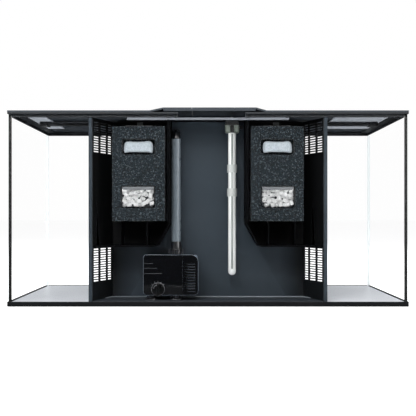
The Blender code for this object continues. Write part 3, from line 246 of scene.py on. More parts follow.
def chamber_plastic():
    """The compartment's moulding: slate, with painted shade that makes it near-black inside the media
    chambers.
    """
    look = Look("compartment_plastic")
    slate = look.blend(look.noise(0.09, 3.0), (0.025, 0.036, 0.048), (0.034, 0.046, 0.058))
    # Painted shade: near-black on the chambers' inner faces, full above the trays and near the outer walls.
    painted_shade = look.blend(look.noise(0.03, 3.0), (0.0015, 0.0018, 0.0022), (0.0035, 0.0042, 0.0052))
    across = look.maths("ABSOLUTE", look.part(look.place, "X"))
    level = look.part(look.place, "Z")
    above_tray = look.spread(level, 0.10, 1.0, PAINTED_SHADE_ABOVE - 0.002, PAINTED_SHADE_ABOVE)
    near_wall = look.spread(across, 0.0, 0.9, PAINTED_SHADE_FROM + 0.07, PAINTED_SHADE_FROM + 0.125)
    depth = look.maths("MAXIMUM", above_tray, near_wall)
    below_slant = look.maths("SUBTRACT", SLANT_TOP, level)
    slant = look.maths("MULTIPLY", look.maths("MAXIMUM", below_slant, 0.0), SLANT_RUN)
    from_divider = look.maths("SUBTRACT", across, slant)
    past_divider = look.spread(from_divider, 0.0, 1.0, PAINTED_SHADE_FROM - 0.0005, PAINTED_SHADE_FROM + 0.0005)
    before_flange = look.spread(across, 1.0, 0.0, FLANGE_FROM, FLANGE_FROM + 0.003)
    share = look.maths("MULTIPLY", look.maths("MULTIPLY", past_divider, before_flange), depth)
    facing = look.part(look.add("TexCoord").outputs["Normal"], "Y")
    inside = look.spread(facing, 1.0, 0.0, 0.0, 0.1)
    shade = look.blend(look.maths("MULTIPLY", share, inside), slate, painted_shade)
    # Lighter edges: partly wear, partly painted highlight.
    shade = look.blend(look.maths("MULTIPLY", look.scuffed_and_lit_edges(0.0008), 0.25), shade, (0.14, 0.16, 0.18))
    grain = look.bump(look.noise(0.0009, 1.0), 0.00002)
    return look.surface(Base_Color=shade, Roughness=0.55, Normal=grain, Specular_IOR_Level=0.12)


def open_cell_foam():
    """Reticulated filter foam: lighter strands round dark pores a millimetre or two across."""
    look = Look("filter_foam")
    pores = look.cells(0.0030)
    strands = look.spread(pores, 0.0, 1.0, 0.20, 0.80)
    shade = look.blend(strands, (0.003, 0.006, 0.008), (0.011, 0.020, 0.027))
    specks = look.spread(look.noise(0.0030, 1.5), 0.0, 0.85, 0.56, 0.68)
    shade = look.blend(specks, shade, (0.078, 0.100, 0.114))
    holes = look.spread(look.noise(0.0036, 1.5), 0.9, 0.0, 0.33, 0.44)
    shade = look.blend(holes, shade, (0.003, 0.004, 0.005))
    fine = look.bump(look.noise(0.0008, 2.0), 0.0005)
    return look.surface(
        Base_Color=shade,
        Roughness=0.95,
        Normal=look.bump(strands, 0.0012, fine),
        Specular_IOR_Level=0.15,
        Sheen_Weight=0.15,
    )


def fleece():
    """Pressed filter fleece: long crossing fibres with a soft sheen."""
    look = Look("filter_fleece")
    fibres = look.noise(0.0011, 6.0, (1.0, 1.0, 0.22))
    crossing = look.noise(0.0009, 6.0, (0.25, 1.0, 1.0))
    both = look.maths("MULTIPLY", fibres, crossing)
    shade = look.blend(look.spread(both, 0.0, 1.0, 0.12, 0.4), (0.30, 0.355, 0.39), (0.52, 0.57, 0.61))
    folds = look.spread(look.noise(0.016, 2.0, (1.0, 1.0, 0.3)), 0.0, 0.35, 0.45, 0.7)
    shade = look.blend(folds, shade, (0.37, 0.43, 0.48))
    return look.surface(
        Base_Color=shade,
        Roughness=0.92,
        Normal=look.bump(both, 0.0008),
        Specular_IOR_Level=0.2,
        Sheen_Weight=0.1,
    )


def fired_ceramic(name, colour, pitch=0.0006):
    """Porous fired clay with small pits and dirtier hollows."""
    look = Look(name)
    pits = look.spread(look.noise(pitch, 4.0), 0.0, 1.0, 0.35, 0.65)
    shade = look.blend(pits, scaled(colour, 0.72), colour)
    shade = look.blend(look.spread(look.noise(0.006, 2.0), 0.0, 0.5), shade, scaled(colour, 0.80))
    return look.surface(
        Base_Color=shade, Roughness=0.85, Normal=look.bump(pits, 0.0002), Specular_IOR_Level=0.3
    )


def net_thread(name, colour):
    """Twisted yarn, darker between its strands."""
    look = Look(name)
    twist = look.noise(0.0004, 1.0)
    shade = look.blend(twist, scaled(colour, 0.7), colour)
    return look.surface(Base_Color=shade, Roughness=0.6, Normal=look.bump(twist, 0.0001), Sheen_Weight=0.2)


def soft_hose():
    """Smoky flexible PVC, glossier where it has been handled, with faint extrusion lines."""
    look = Look("hose_pvc")
    lines = look.noise(0.0012, 1.0, (1.0, 1.0, 0.01))
    shade = look.blend(lines, (0.125, 0.155, 0.180), (0.180, 0.215, 0.245))
    return look.surface(
        Base_Color=shade,
        Roughness=look.spread(look.noise(0.01, 2.0), 0.22, 0.36),
        Normal=look.bump(lines, 0.00015),
        Subsurface_Weight=0.25,
        Subsurface_Scale=0.004,
        Subsurface_Radius=(1.0, 1.0, 1.0),
        Specular_IOR_Level=0.25,
    )


def opal_glass():
    """The heater's milky glass tube."""
    look = Look("heater_opal_glass")
    shade = look.blend(look.noise(0.02, 2.0), (0.78, 0.82, 0.81), (0.88, 0.91, 0.90))
    return look.surface(
        Base_Color=shade,
        Roughness=0.12,
        Normal=look.bump(look.noise(0.01, 1.0), 0.00008),
        Subsurface_Weight=0.3,
        Subsurface_Scale=0.003,
        Subsurface_Radius=(1.0, 1.0, 1.0),
        Coat_Weight=0.6,
        Coat_Roughness=0.04,
    )


def metal(name, colour, roughness):
    """Bare metal with fine lines drawn along X."""
    look = Look(name)
    drawn = look.noise(0.0006, 2.0, (0.03, 1.0, 1.0))
    return look.surface(
        Base_Color=look.blend(drawn, scaled(colour, 0.8), colour),
        Metallic=1.0,
        Roughness=look.spread(drawn, roughness * 0.7, roughness * 1.3),
        Normal=look.bump(drawn, 0.00002),
    )


def frosted_lens():
    """The lamp's pale ribbed cover."""
    look = Look("frosted_lens")
    ribs = look.add("TexWave", {"Vector": look.place, "Scale": 320.0}, bands_direction="X").outputs["Fac"]
    shade = look.blend(look.noise(0.03, 2.0), (0.40, 0.43, 0.46), (0.48, 0.51, 0.54))
    return look.surface(
        Base_Color=shade,
        Roughness=0.28,
        Normal=look.bump(ribs, 0.00012),
        Subsurface_Weight=0.4,
        Subsurface_Scale=0.002,
        Subsurface_Radius=(1.0, 1.0, 1.0),
    )


# ---------------------------------------------------------------- mesh tools

SHARP_FROM = math.radians(38)  # between faces: where a piece's shading breaks
NODE_SHARP_FROM = math.radians(32)
BEVELLED_FROM = math.radians(35)
WELD = 0.00001


def new_object(name, mesh, material=None):
    made = bpy.data.objects.new(name, mesh)
    bpy.context.scene.collection.objects.link(made)
    if material is not None:
        mesh.materials.clear()
        mesh.materials.append(material)
    return made


def built(name, build, material=None, smooth=False):
    """An object whose mesh is what build adds to an empty bmesh."""
    mesh = bpy.data.meshes.new(name)
    shape = bmesh.new()
    build(shape)
    bmesh.ops.recalc_face_normals(shape, faces=shape.faces)
    shape.to_mesh(mesh)
    shape.free()
    if smooth:
        mesh.shade_smooth()
        mesh.set_sharp_from_angle(angle=SHARP_FROM)
    return new_object(name, mesh, material)


def applied(target):
    """Replaces the object's mesh by what its modifiers make of it."""
    bpy.context.view_layer.update()
    graph = bpy.context.evaluated_depsgraph_get()
    mesh = bpy.data.meshes.new_from_object(target.evaluated_get(graph))
    target.modifiers.clear()
    target.data = mesh
    return target


def modify(target, kind, **settings):
    modifier = target.modifiers.new(kind.title(), kind)
    for key, value in settings.items():
        setattr(modifier, key, value)
    return modifier


def rounded(target, width, segments=3):
    modify(
        target,
        "BEVEL",
        width=width,
        segments=segments,
        limit_method="ANGLE",
        angle_limit=BEVELLED_FROM,
        harden_normals=True,
    )
    return target


def settle(target, body, replaces=()):
    """Names the body a piece rides on, and hides the nodes it stands for."""
    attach(target, body)
    if replaces:
        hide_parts(*replaces)
    return target


def block(name, low, high, material, edge):
    """A box with rounded edges between two corners."""
    low, high = Vector(low), Vector(high)

    def build(shape):
        place = Matrix.Translation((low + high) / 2) @ Matrix.Diagonal((*(high - low), 1.0))
        bmesh.ops.create_cube(shape, matrix=place)

    return applied(rounded(built(name, build, material, smooth=True), edge))


def displaced(target, kind, size, strength):
    """Moves the surface in by up to strength, as a procedural texture of that feature size says."""
    texture = bpy.data.textures.new(f"{target.name}_{kind.lower()}", kind)
    texture.noise_scale = size
    modify(target, "DISPLACE", texture=texture, strength=strength, mid_level=1.0, texture_coords="LOCAL")
    return target


def surface_group():
    """A modifier's node group: welds a node's split faces and smooths it, save over sharp edges."""
    group = bpy.data.node_groups.new("welded_and_smooth", "GeometryNodeTree")
    group.interface.new_socket("Geometry", in_out="INPUT", socket_type="NodeSocketGeometry")
    group.interface.new_socket("Geometry", in_out="OUTPUT", socket_type="NodeSocketGeometry")
    start = group.nodes.new("NodeGroupInput")
    weld = group.nodes.new("GeometryNodeMergeByDistance")
    weld.inputs["Distance"].default_value = WELD
    bare = group.nodes.new("GeometryNodeRemoveAttribute")
    bare.inputs["Name"].default_value = "custom_normal"
    faces = group.nodes.new("GeometryNodeSetShadeSmooth")
    edges = group.nodes.new("GeometryNodeSetShadeSmooth")
    edges.domain = "EDGE"
    angle = group.nodes.new("GeometryNodeInputMeshEdgeAngle")
    flat = group.nodes.new("FunctionNodeCompare")
    flat.operation = "LESS_THAN"
    flat.inputs["B"].default_value = NODE_SHARP_FROM
    end = group.nodes.new("NodeGroupOutput")
    link = group.links.new
    link(start.outputs[0], weld.inputs["Geometry"])
    link(weld.outputs[0], bare.inputs["Geometry"])
    link(bare.outputs[0], faces.inputs["Geometry"])
    link(faces.outputs[0], edges.inputs["Geometry"])
    link(angle.outputs["Unsigned Angle"], flat.inputs["A"])
    link(flat.outputs[0], edges.inputs["Shade Smooth"])
    link(edges.outputs[0], end.inputs[0])
    return group


SURFACE = surface_group()


def dress(material, nodes, edge=0.0):
    """Gives CAD nodes their material, smooth round faces and, where edge is set, rounded edges."""
    for name in nodes.split():
        node = NODES[name]
        node.material_slots[0].material = material
        node.modifiers.new("Surface", "NODES").node_group = SURFACE
        if edge:
            rounded(node, edge, 2)


# ---------------------------------------------------------------- filter media


FOAM_VOXEL = 0.0019
FOAM_CELL = 0.0036  # the cells that the foam's faces are torn along, and how deep
FOAM_TEAR = 0.0014
FOAM_SWELL = 0.030  # the broader waves of a cut block, and how deep
FOAM_WAVE = 0.0010


def foam_block(side, material):
    """The CAD block remeshed finely, with its faces torn in by open cells."""
    node = f"foam_block_{side}"
    made = new_object(f"filter_foam_{side}", NODES[node].data.copy(), material)
    modify(made, "REMESH", mode="VOXEL", voxel_size=FOAM_VOXEL)
    displaced(made, "VORONOI", FOAM_CELL, FOAM_TEAR)
    displaced(made, "CLOUDS", FOAM_SWELL, FOAM_WAVE)
    made = applied(made)
    made.data.shade_smooth()
    settle(made, f"cartridge_{side}", [node])
    return made


PUFF_SCALE = 10.0  # cloth is worked out on a larger copy, where its settings are at home
PUFF_FRAMES = 20
PUFF_PRESSURE = 4.0
PUFF_MOST = 0.0022  # how far a point may move


def puffed(target, low, high):
    """Blows the closed form up as cloth, and keeps it in its box."""
    rest = [vertex.co.copy() for vertex in target.data.vertices]
    target.data.transform(Matrix.Scale(PUFF_SCALE, 4))
    cloth = modify(target, "CLOTH")
    cloth.settings.use_pressure = True
    cloth.settings.uniform_pressure_force = PUFF_PRESSURE
    cloth.settings.quality = 6
    cloth.settings.effector_weights.gravity = 0.0
    cloth.settings.tension_stiffness = 12.0
    cloth.settings.compression_stiffness = 12.0
    cloth.collision_settings.use_collision = False
    for number in range(1, PUFF_FRAMES + 1):
        bpy.context.scene.frame_set(number)
    applied(target)
    bpy.context.scene.frame_set(1)
    target.data.transform(Matrix.Scale(1.0 / PUFF_SCALE, 4))
    for vertex, start in zip(target.data.vertices, rest):
        moved = vertex.co - start
        if moved.length > PUFF_MOST:
            moved *= PUFF_MOST / moved.length
        place = start + moved
        vertex.co = [min(max(place[i], low[i]), high[i]) for i in range(3)]
    return target


FLEECE_SHARE = Matrix.Diagonal((0.965, 0.66, 0.95, 1.0))  # of the pouch's box, before it is blown up
FLEECE_VOXEL = 0.0014
FLEECE_LUMP = 0.010  # the pad's lumps, and how deep
FLEECE_DENT = 0.0007
SEAM_SHARPNESS = 9  # the higher, the narrower the seam
SEAM_DEPTH = 0.75  # of the pad's thickness


def fleece_pouch(side, material):
    """A crowned fleece pad with a pressed seam round its rim."""
    node = f"fleece_pouch_{side}"
    low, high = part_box(node)
    middle = (low + high) / 2
    made = new_object(f"fleece_pad_{side}", NODES[node].data.copy(), material)
    made.data.transform(Matrix.Translation(middle) @ FLEECE_SHARE @ Matrix.Translation(-middle))
    modify(made, "REMESH", mode="VOXEL", voxel_size=FLEECE_VOXEL)
    modify(made, "SMOOTH", iterations=6, factor=0.6)
    made = puffed(applied(made), low, high)
    for vertex in made.data.vertices:
        out_x = abs(vertex.co.x - middle.x) / (high.x - low.x) * 2
        out_z = abs(vertex.co.z - middle.z) / (high.z - low.z) * 2
        rim = max(out_x, out_z) ** SEAM_SHARPNESS
        crown = 1.0 - SEAM_DEPTH * min(1.0, rim)
        vertex.co.y = middle.y + (vertex.co.y - middle.y) * crown
    modify(made, "SUBSURF", levels=1, render_levels=1)
    displaced(made, "CLOUDS", FLEECE_LUMP, FLEECE_DENT)
    made = applied(made)
    made.data.shade_smooth()
    settle(made, f"cartridge_{side}", [node])
    return made


RING_RADIUS = 0.0042
RING_BORE = 0.0021
RING_LENGTH = 0.0092
RING_COUNT = 34
RING_REACH = 0.0098  # between two rings' middles
RING_SOFT = 0.0004  # the rims' rounding
RING_STEPS = 14
RING_INSET = 0.0006  # from the bag's box, which no ring passes
RING_GAP = 0.0008  # from the bag's box to a ring that lies along it
HEM_ROOM = 0.002
RING_SEED = 40
PACKING_ROUNDS = 60


def packed_places(low, high, count, reach, seed):
    """Random points in a box, pushed apart until they keep about reach between them."""
    pick = random.Random(seed)
    points = [Vector([pick.uniform(low[i], high[i]) for i in range(3)]) for _ in range(count)]
    for _ in range(PACKING_ROUNDS):
        for i, first in enumerate(points):
            for second in points[:i]:
                apart = first - second
                if 1e-6 < apart.length < reach:
                    push = apart.normalized() * (reach - apart.length) * 0.5
                    first += push
                    second -= push
        for point in points:
            for i in range(3):
                point[i] = min(max(point[i], low[i]), high[i])
    return points


def add_ring(shape, place):
    """A short thick-walled tube with softened rims."""
    half = RING_LENGTH / 2
    profile = [
        (RING_BORE + RING_SOFT, half),
        (RING_RADIUS - RING_SOFT, half),
        (RING_RADIUS, half - RING_SOFT),
        (RING_RADIUS, -half + RING_SOFT),
        (RING_RADIUS - RING_SOFT, -half),
        (RING_BORE + RING_SOFT, -half),
        (RING_BORE, -half + RING_SOFT),
        (RING_BORE, half - RING_SOFT),
    ]
    loops = []
    for i in range(RING_STEPS):
        turn = Matrix.Rotation(math.tau * i / RING_STEPS, 4, "Z")
        loops.append([shape.verts.new(place @ turn @ Vector((r, 0.0, z))) for r, z in profile])
    for i, loop in enumerate(loops):
        after = loops[(i + 1) % RING_STEPS]
        for j in range(len(profile)):
            k = (j + 1) % len(profile)
            shape.faces.new((loop[j], loop[k], after[k], after[j]))


def ceramic_rings(side, seed, material):
    """Loose ceramic rings, tipped every way, filling their bag."""
    low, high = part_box(f"ceramic_media_bag_{side}")
    inset = RING_RADIUS + RING_GAP
    room_low = low + Vector((inset, inset, inset))
    room_high = high - Vector((inset, inset, inset + HEM_ROOM))
    pick = random.Random(seed)
    places = packed_places(room_low, room_high, RING_COUNT, RING_REACH, seed)

    def build(shape):
        for place in places:
            tipped = Matrix.Rotation(pick.uniform(0, math.pi), 4, "X")
            turned = Matrix.Rotation(pick.uniform(0, math.pi), 4, "Y")
            add_ring(shape, Matrix.Translation(place) @ tipped @ turned)

    made = built(f"ceramic_rings_{side}", build, material, smooth=True)
    for vertex in made.data.vertices:
        vertex.co.y = min(max(vertex.co.y, low.y + RING_INSET), high.y - RING_INSET)
        vertex.co.x = min(max(vertex.co.x, low.x + RING_INSET), high.x - RING_INSET)
    return settle(made, f"cartridge_{side}")


NET_VOXEL = 0.0026  # the mesh's width
NET_THREAD = 0.00013


def media_net(side, material):
    """The knotted net bag round the rings: a closed form whose faces' edges are its threads."""
    node = f"ceramic_media_bag_{side}"
    made = new_object(f"media_net_{side}", NODES[node].data.copy(), material)
    modify(made, "REMESH", mode="VOXEL", voxel_size=NET_VOXEL)
    modify(made, "SMOOTH", iterations=3, factor=0.5)
    modify(made, "WIREFRAME", thickness=NET_THREAD)
    made = applied(made)
    settle(made, f"cartridge_{side}", [node])
    return made


CUFF_HEIGHT = 0.0062
CUFF_INSET = 0.0003
CUFF_COLUMNS = 120
CUFF_ROWS = 5
CUFF_SQUARENESS = 0.22  # 1 would be an ellipse seen from above, and 0 a rectangle
GATHERS = 31
GATHER_DEPTH = 0.012  # of the cuff's half width, as is its waist
CUFF_WAIST = 0.02


def squared(value):
    return math.copysign(abs(value) ** CUFF_SQUARENESS, value)


def media_cuff(side, material):
    """The bag's sewn upper hem, drawn in over the rings in small gathers."""
    low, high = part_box(f"ceramic_media_bag_{side}")
    middle = (low + high) / 2
    half_x, half_y = (high.x - low.x) / 2 - CUFF_INSET, (high.y - low.y) / 2 - CUFF_INSET

    def build(shape):
        loops = []
        for row in range(CUFF_ROWS + 1):
            drop = row / CUFF_ROWS
            loop = []
            for column in range(CUFF_COLUMNS):
                turn = math.tau * column / CUFF_COLUMNS
                gather = GATHER_DEPTH * math.sin(turn * GATHERS + row)
                ripple = 1.0 + gather - CUFF_WAIST * math.sin(math.pi * drop)
                x = max(-half_x, min(half_x, squared(math.cos(turn)) * half_x * ripple))
                y = max(-half_y, min(half_y, squared(math.sin(turn)) * half_y * ripple))
                loop.append(shape.verts.new((middle.x + x, middle.y + y, high.z - CUFF_HEIGHT * drop)))
            loops.append(loop)
        for upper, lower in zip(loops, loops[1:]):
            for i in range(CUFF_COLUMNS):
                j = (i + 1) % CUFF_COLUMNS
                shape.faces.new((upper[i], upper[j], lower[j], lower[i]))

    made = built(f"media_cuff_{side}", build, material, smooth=True)
    modify(made, "SOLIDIFY", thickness=0.0005, offset=-1.0)
    made = applied(made)
    return settle(made, f"cartridge_{side}")


# ---------------------------------------------------------------- small moulded detail

HOUSING_LOW, HOUSING_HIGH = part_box("pump_housing")
DIAL_LOW, DIAL_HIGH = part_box("flow_dial")
DIAL_CENTRE = (DIAL_LOW + DIAL_HIGH) / 2
DIAL_RADIUS = (DIAL_HIGH.x - DIAL_LOW.x) / 2
PROUD = 0.0005  # how far raised detail stands out of the face it is moulded on
RIBS = ((0.0655, 0.020), (0.0554, 0.0284), (0.0447, 0.0387))  # height on the housing, and length
RIB_INSET = 0.0012
RIB_HALF = 0.0008
GRILLE_SLOTS = 11
GRILLE_PITCH = 0.0056
GRILLE_DROP = 0.004  # from the cover's middle to the middle slot
LIP_DROP = 0.0019  # from a slot's middle to its lower lip
LIP_HALF = 0.0004
LIP_INSETS = (0.010, 0.0060)  # from the cover's two sides
LIP_FRONT = -0.0002  # from the cover's face
LIP_BACK = 0.0006
PANEL_LEVELS = (0.0022, 0.0200)  # its lower and upper edge on the housing
PANEL_INSETS = (0.0024, 0.0016)  # from the housing's two sides
DIAL_RECESS = 0.0012  # round the dial


def pump_ribs(material):
    """Three raised lines of growing length from the motor block's outer edge, paler than the housing as a
    painted highlight.
    """
    for number, (level, length) in enumerate(RIBS, 1):
        z = HOUSING_LOW.z + level
        low = (HOUSING_LOW.x + RIB_INSET, HOUSING_LOW.y - PROUD, z - RIB_HALF)
        high = (HOUSING_LOW.x + length, HOUSING_LOW.y + PROUD, z + RIB_HALF)
        settle(block(f"pump_rib_{number}", low, high, material, edge=0.00025), "tank")


def grille_lips(material):
    """The lower lip of each of the cover's slots, bright as a painted highlight."""
    low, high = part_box("pump_intake_cover")
    middle_z = (low.z + high.z) / 2 - GRILLE_DROP
    for number in range(GRILLE_SLOTS):
        z = middle_z + (number - (GRILLE_SLOTS - 1) / 2) * GRILLE_PITCH - LIP_DROP
        start = (low.x + LIP_INSETS[0], low.y + LIP_FRONT, z - LIP_HALF)
        end = (high.x - LIP_INSETS[1], low.y + LIP_BACK, z + LIP_HALF)
        settle(block(f"grille_lip_{number + 1}", start, end, material, edge=0.0002), "tank")


def pump_lower_panels(material):
    """The matt raised panel round the regulator, parted by the dial's recess."""
    room = DIAL_RADIUS + DIAL_RECESS
    low_z, high_z = (HOUSING_LOW.z + level for level in PANEL_LEVELS)
    spans = (
        ("left", HOUSING_LOW.x + PANEL_INSETS[0], DIAL_CENTRE.x - room),
        ("right", DIAL_CENTRE.x + room, HOUSING_HIGH.x - PANEL_INSETS[1]),
    )
    for side, low_x, high_x in spans:
        low = (low_x, HOUSING_LOW.y - PROUD, low_z)
        high = (high_x, HOUSING_LOW.y + PROUD, high_z)
        settle(block(f"pump_panel_{side}", low, high, material, edge=0.0003), "tank")


def arc_points(centre, radius, first, last, steps, y):
    """Points round an axis along Y, from the first angle to the last, in degrees from +X."""
    angles = [math.radians(first + (last - first) * i / steps) for i in range(steps + 1)]
    return [Vector((centre.x + radius * math.cos(a), y, centre.z + radius * math.sin(a))) for a in angles]


def bead(name, route, radius, material, resolution=3):
    """A round bead along the route's points, as a mesh."""
    curve = bpy.data.curves.new(name, "CURVE")
    curve.dimensions = "3D"
    curve.bevel_depth = radius
    curve.bevel_resolution = resolution
    curve.use_fill_caps = True
    spline = curve.splines.new("POLY")
    spline.points.add(len(route) - 1)
    for point, place in zip(spline.points, route):
        point.co = (*place, 1.0)
    line = new_object(name + "_line", curve)
    graph = bpy.context.evaluated_depsgraph_get()
    mesh = bpy.data.meshes.new_from_object(line.evaluated_get(graph))
    bpy.data.objects.remove(line)
    made = new_object(name, mesh, material)
    mesh.shade_smooth()
    return made


FOOT_LIPS = ((0.0012, 1.0), (0.0062, 0.72))  # height on the cup, and share of its radius
FOOT_LIP_RADIUS = 0.0007
FOOT_LIP_INSET = 0.0006
FOOT_STEPS = 40


def foot_rims(material):
    """The glossy lips round each suction cup under the pump, paler than the cups as painted highlights."""
    for end in ("rear", "front"):
        for side_name, _ in SIDES:
            low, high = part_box(f"pump_foot_{end}_{side_name}")
            centre = (low + high) / 2
            for number, (level, share) in enumerate(FOOT_LIPS, 1):
                radius = ((high.x - low.x) / 2 - FOOT_LIP_INSET) * share
                route = []
                for i in range(FOOT_STEPS + 1):
                    angle = math.tau * i / FOOT_STEPS
                    out = Vector((math.cos(angle), math.sin(angle), 0.0)) * radius
                    route.append(Vector((centre.x, centre.y, low.z + level)) + out)
                lip = bead(f"foot_lip_{end}_{side_name}_{number}", route, FOOT_LIP_RADIUS, material)
                settle(lip, "tank")


NUT_RIBS = 18
NUT_RIB_SIDES = (0.0016, 0.0015)  # outwards and round the nut
NUT_RIB_SHARE = 0.82  # of the nut's height


def nut_ribs(material):
    """Grip ribs round the union nut, paler than the nut as a painted highlight."""
    low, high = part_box("union_nut")
    to_rim = Matrix.Translation(((high.x - low.x) / 2, 0.0, 0.0))
    size = Matrix.Diagonal((*NUT_RIB_SIDES, (high.z - low.z) * NUT_RIB_SHARE, 1.0))

    def build(shape):
        for i in range(NUT_RIBS):
            turn = Matrix.Rotation(math.tau * i / NUT_RIBS, 4, "Z")
            place = Matrix.Translation((low + high) / 2) @ turn @ to_rim @ size
            bmesh.ops.create_cube(shape, matrix=place)

    made = applied(rounded(built("union_nut_ribs", build, material, smooth=True), 0.0003))
    settle(made, "tank")


DIAL_FACE = 0.0022  # from the dial's grip back to its face
TICKS = 5
TICK_FROM = 40  # degrees
TICK_STEP = 25
TICK_GAP = 0.0014
TICK_LENGTH = 0.0024


def dial_detail(material, pale_ticks_and_highlights):
    """The dial's raised rim and pointer loop, and the lip and the ticks round it on the housing. The pointer
    and ticks are pale as marking and as painted highlight, and the lip as painted highlight.
    """
    face = DIAL_LOW.y + DIAL_FACE
    rim = bead("dial_rim", arc_points(DIAL_CENTRE, DIAL_RADIUS - 0.0012, 0, 360, 48, face), 0.0005, material)
    settle(rim, "flow_dial")
    loop = arc_points(DIAL_CENTRE, DIAL_RADIUS - 0.0040, 105, 172, 12, face)
    settle(bead("dial_pointer", loop, 0.0006, pale_ticks_and_highlights), "flow_dial")
    edge = arc_points(DIAL_CENTRE, DIAL_RADIUS + 0.0006, 0, 360, 48, HOUSING_LOW.y)
    settle(bead("dial_lip", edge, 0.0006, pale_ticks_and_highlights), "tank")
    middle = Vector((DIAL_CENTRE.x, HOUSING_LOW.y - 0.0001, DIAL_CENTRE.z))
    for number in range(TICKS):
        angle = math.radians(TICK_FROM + TICK_STEP * number)
        out = Vector((math.cos(angle), 0.0, math.sin(angle)))
        start = middle + out * (DIAL_RADIUS + TICK_GAP)
        tick = bead(f"dial_tick_{number + 1}", [start, start + out * TICK_LENGTH], 0.0005, pale_ticks_and_highlights, 2)
        settle(tick, "tank")


STRIP_HALF = 0.00195
STRIP_LIFT = 0.00008  # off the glass
STRIP_ENDS = (0.014, 0.002)  # from the tube's lower and upper end
STRIP_STEPS = 6


def heater_strip(material):
    """The thin grey strip along the middle of the tube's rear side."""
    low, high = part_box("heater_tube")
    centre = (low + high) / 2
    radius = (high.x - low.x) / 2 + STRIP_LIFT
    levels = (low.z + STRIP_ENDS[0], high.z - STRIP_ENDS[1])

    def build(shape):
        columns = []
        for i in range(STRIP_STEPS + 1):
            angle = -math.pi / 2 + STRIP_HALF / radius * (2 * i / STRIP_STEPS - 1)
            x = centre.x + radius * math.cos(angle)
            y = centre.y + radius * math.sin(angle)
            columns.append([shape.verts.new((x, y, z)) for z in levels])
        for first, second in zip(columns, columns[1:]):
            shape.faces.new((first[0], second[0], second[1], first[1]))

    made = built("heater_strip", build, material, smooth=True)
    modify(made, "SOLIDIFY", thickness=0.0002, offset=0.0)
    settle(applied(made), "tank")


OVER = 0.0004  # how far a fitted piece stands over the one under it
SLOT_HALF = 0.0036
FITTED_DEPTH = 0.004
CAP_HEIGHT = 0.0032


def heater_insert(material):
    """The head's black centre, between its two grey arms, and the black cap over them."""
    low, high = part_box("heater_head")
    tube_low, tube_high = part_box("heater_tube")
    middle = (tube_low.x + tube_high.x) / 2
    face, cap = low.y - OVER, high.z - CAP_HEIGHT
    start, end = (middle - SLOT_HALF, face, low.z + OVER), (middle + SLOT_HALF, face + FITTED_DEPTH, cap)
    settle(block("heater_slot", start, end, material, edge=0.0003), "tank")
    start, end = (low.x - OVER, face, cap), high + Vector((OVER, OVER, OVER))
    settle(block("heater_cap", start, end, material, edge=0.0006), "tank")


FOAM_TO_FRONT = 0.0067  # from a foam block to the compartment's front wall, and to its corner
FOAM_TO_CORNER = 0.0065
BEAD_RADIUS = 0.0014
BEAD_OFFSET = 0.0008  # from the walls and the floor to the bead's middle
BEAD_END = (-0.0048, 0.0035)  # from the shell's rear corner


def wall_beads(material):
    """The welded bead where the compartment's three walls meet its floor, pale as a painted highlight along
    that joint.
    """
    shell_low, shell_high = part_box("compartment_shell")
    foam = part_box("foam_block_right")[1]
    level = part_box("compartment_floor")[1].z + BEAD_OFFSET
    front = foam.y + FOAM_TO_FRONT - BEAD_OFFSET
    corner = foam.x + FOAM_TO_CORNER - BEAD_OFFSET
    rear = (shell_high.x + BEAD_END[0], shell_low.y + BEAD_END[1])
    route = [(-rear[0], rear[1]), (-corner, front), (corner, front), rear]
    made = bead("wall_bead", [Vector((x, y, level)) for x, y in route], BEAD_RADIUS, material)
    settle(made, "tank")


CLIP_FROM_MIDDLE = 0.2155
CLIP_HALF = 0.0052
CLIP_HEIGHT = 0.0032
CLIP_RISE = 0.0002


def rim_clips(material):
    """The two dark spring clips that hold the hood's rim at the rear."""
    low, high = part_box("top_frame")
    for side_name, side in SIDES:
        x = side * CLIP_FROM_MIDDLE
        start = (x - CLIP_HALF, low.y - OVER, high.z - CLIP_HEIGHT)
        end = (x + CLIP_HALF, low.y + FITTED_DEPTH, high.z + CLIP_RISE)
        settle(block(f"rim_clip_{side_name}", start, end, material, edge=0.0003), "tank")


# ---------------------------------------------------------------- floor, lights, camera


FLOOR_HALF = 30.0
FLOOR_GAP = 0.0004  # keeps the trim's underside off the floor's plane


def floor():
    """A large pale floor that keeps a soft shadow under the tank and is dim in mirror-like reflections."""
    look = Look("studio_floor")
    pale = look.add("BsdfDiffuse", {"Color": (0.86, 0.86, 0.87, 1.0)}).outputs[0]
    lit = look.add("Emission", {"Color": (1.0, 1.0, 1.0, 1.0), "Strength": 0.80}).outputs[0]
    both = look.add("AddShader", {0: pale, 1: lit}).outputs[0]
    dim = look.add("Emission", {"Color": (0.9, 0.95, 1.0, 1.0), "Strength": 0.05}).outputs[0]
    mirrored = look.add("LightPath").outputs["Is Glossy Ray"]
    material = look.finish(look.add("MixShader", {0: mirrored, 1: both, 2: dim}))

    def build(shape):
        bmesh.ops.create_grid(shape, x_segments=1, y_segments=1, size=FLOOR_HALF)

    made = built("floor", build, material)
    made.location.z = -FLOOR_GAP


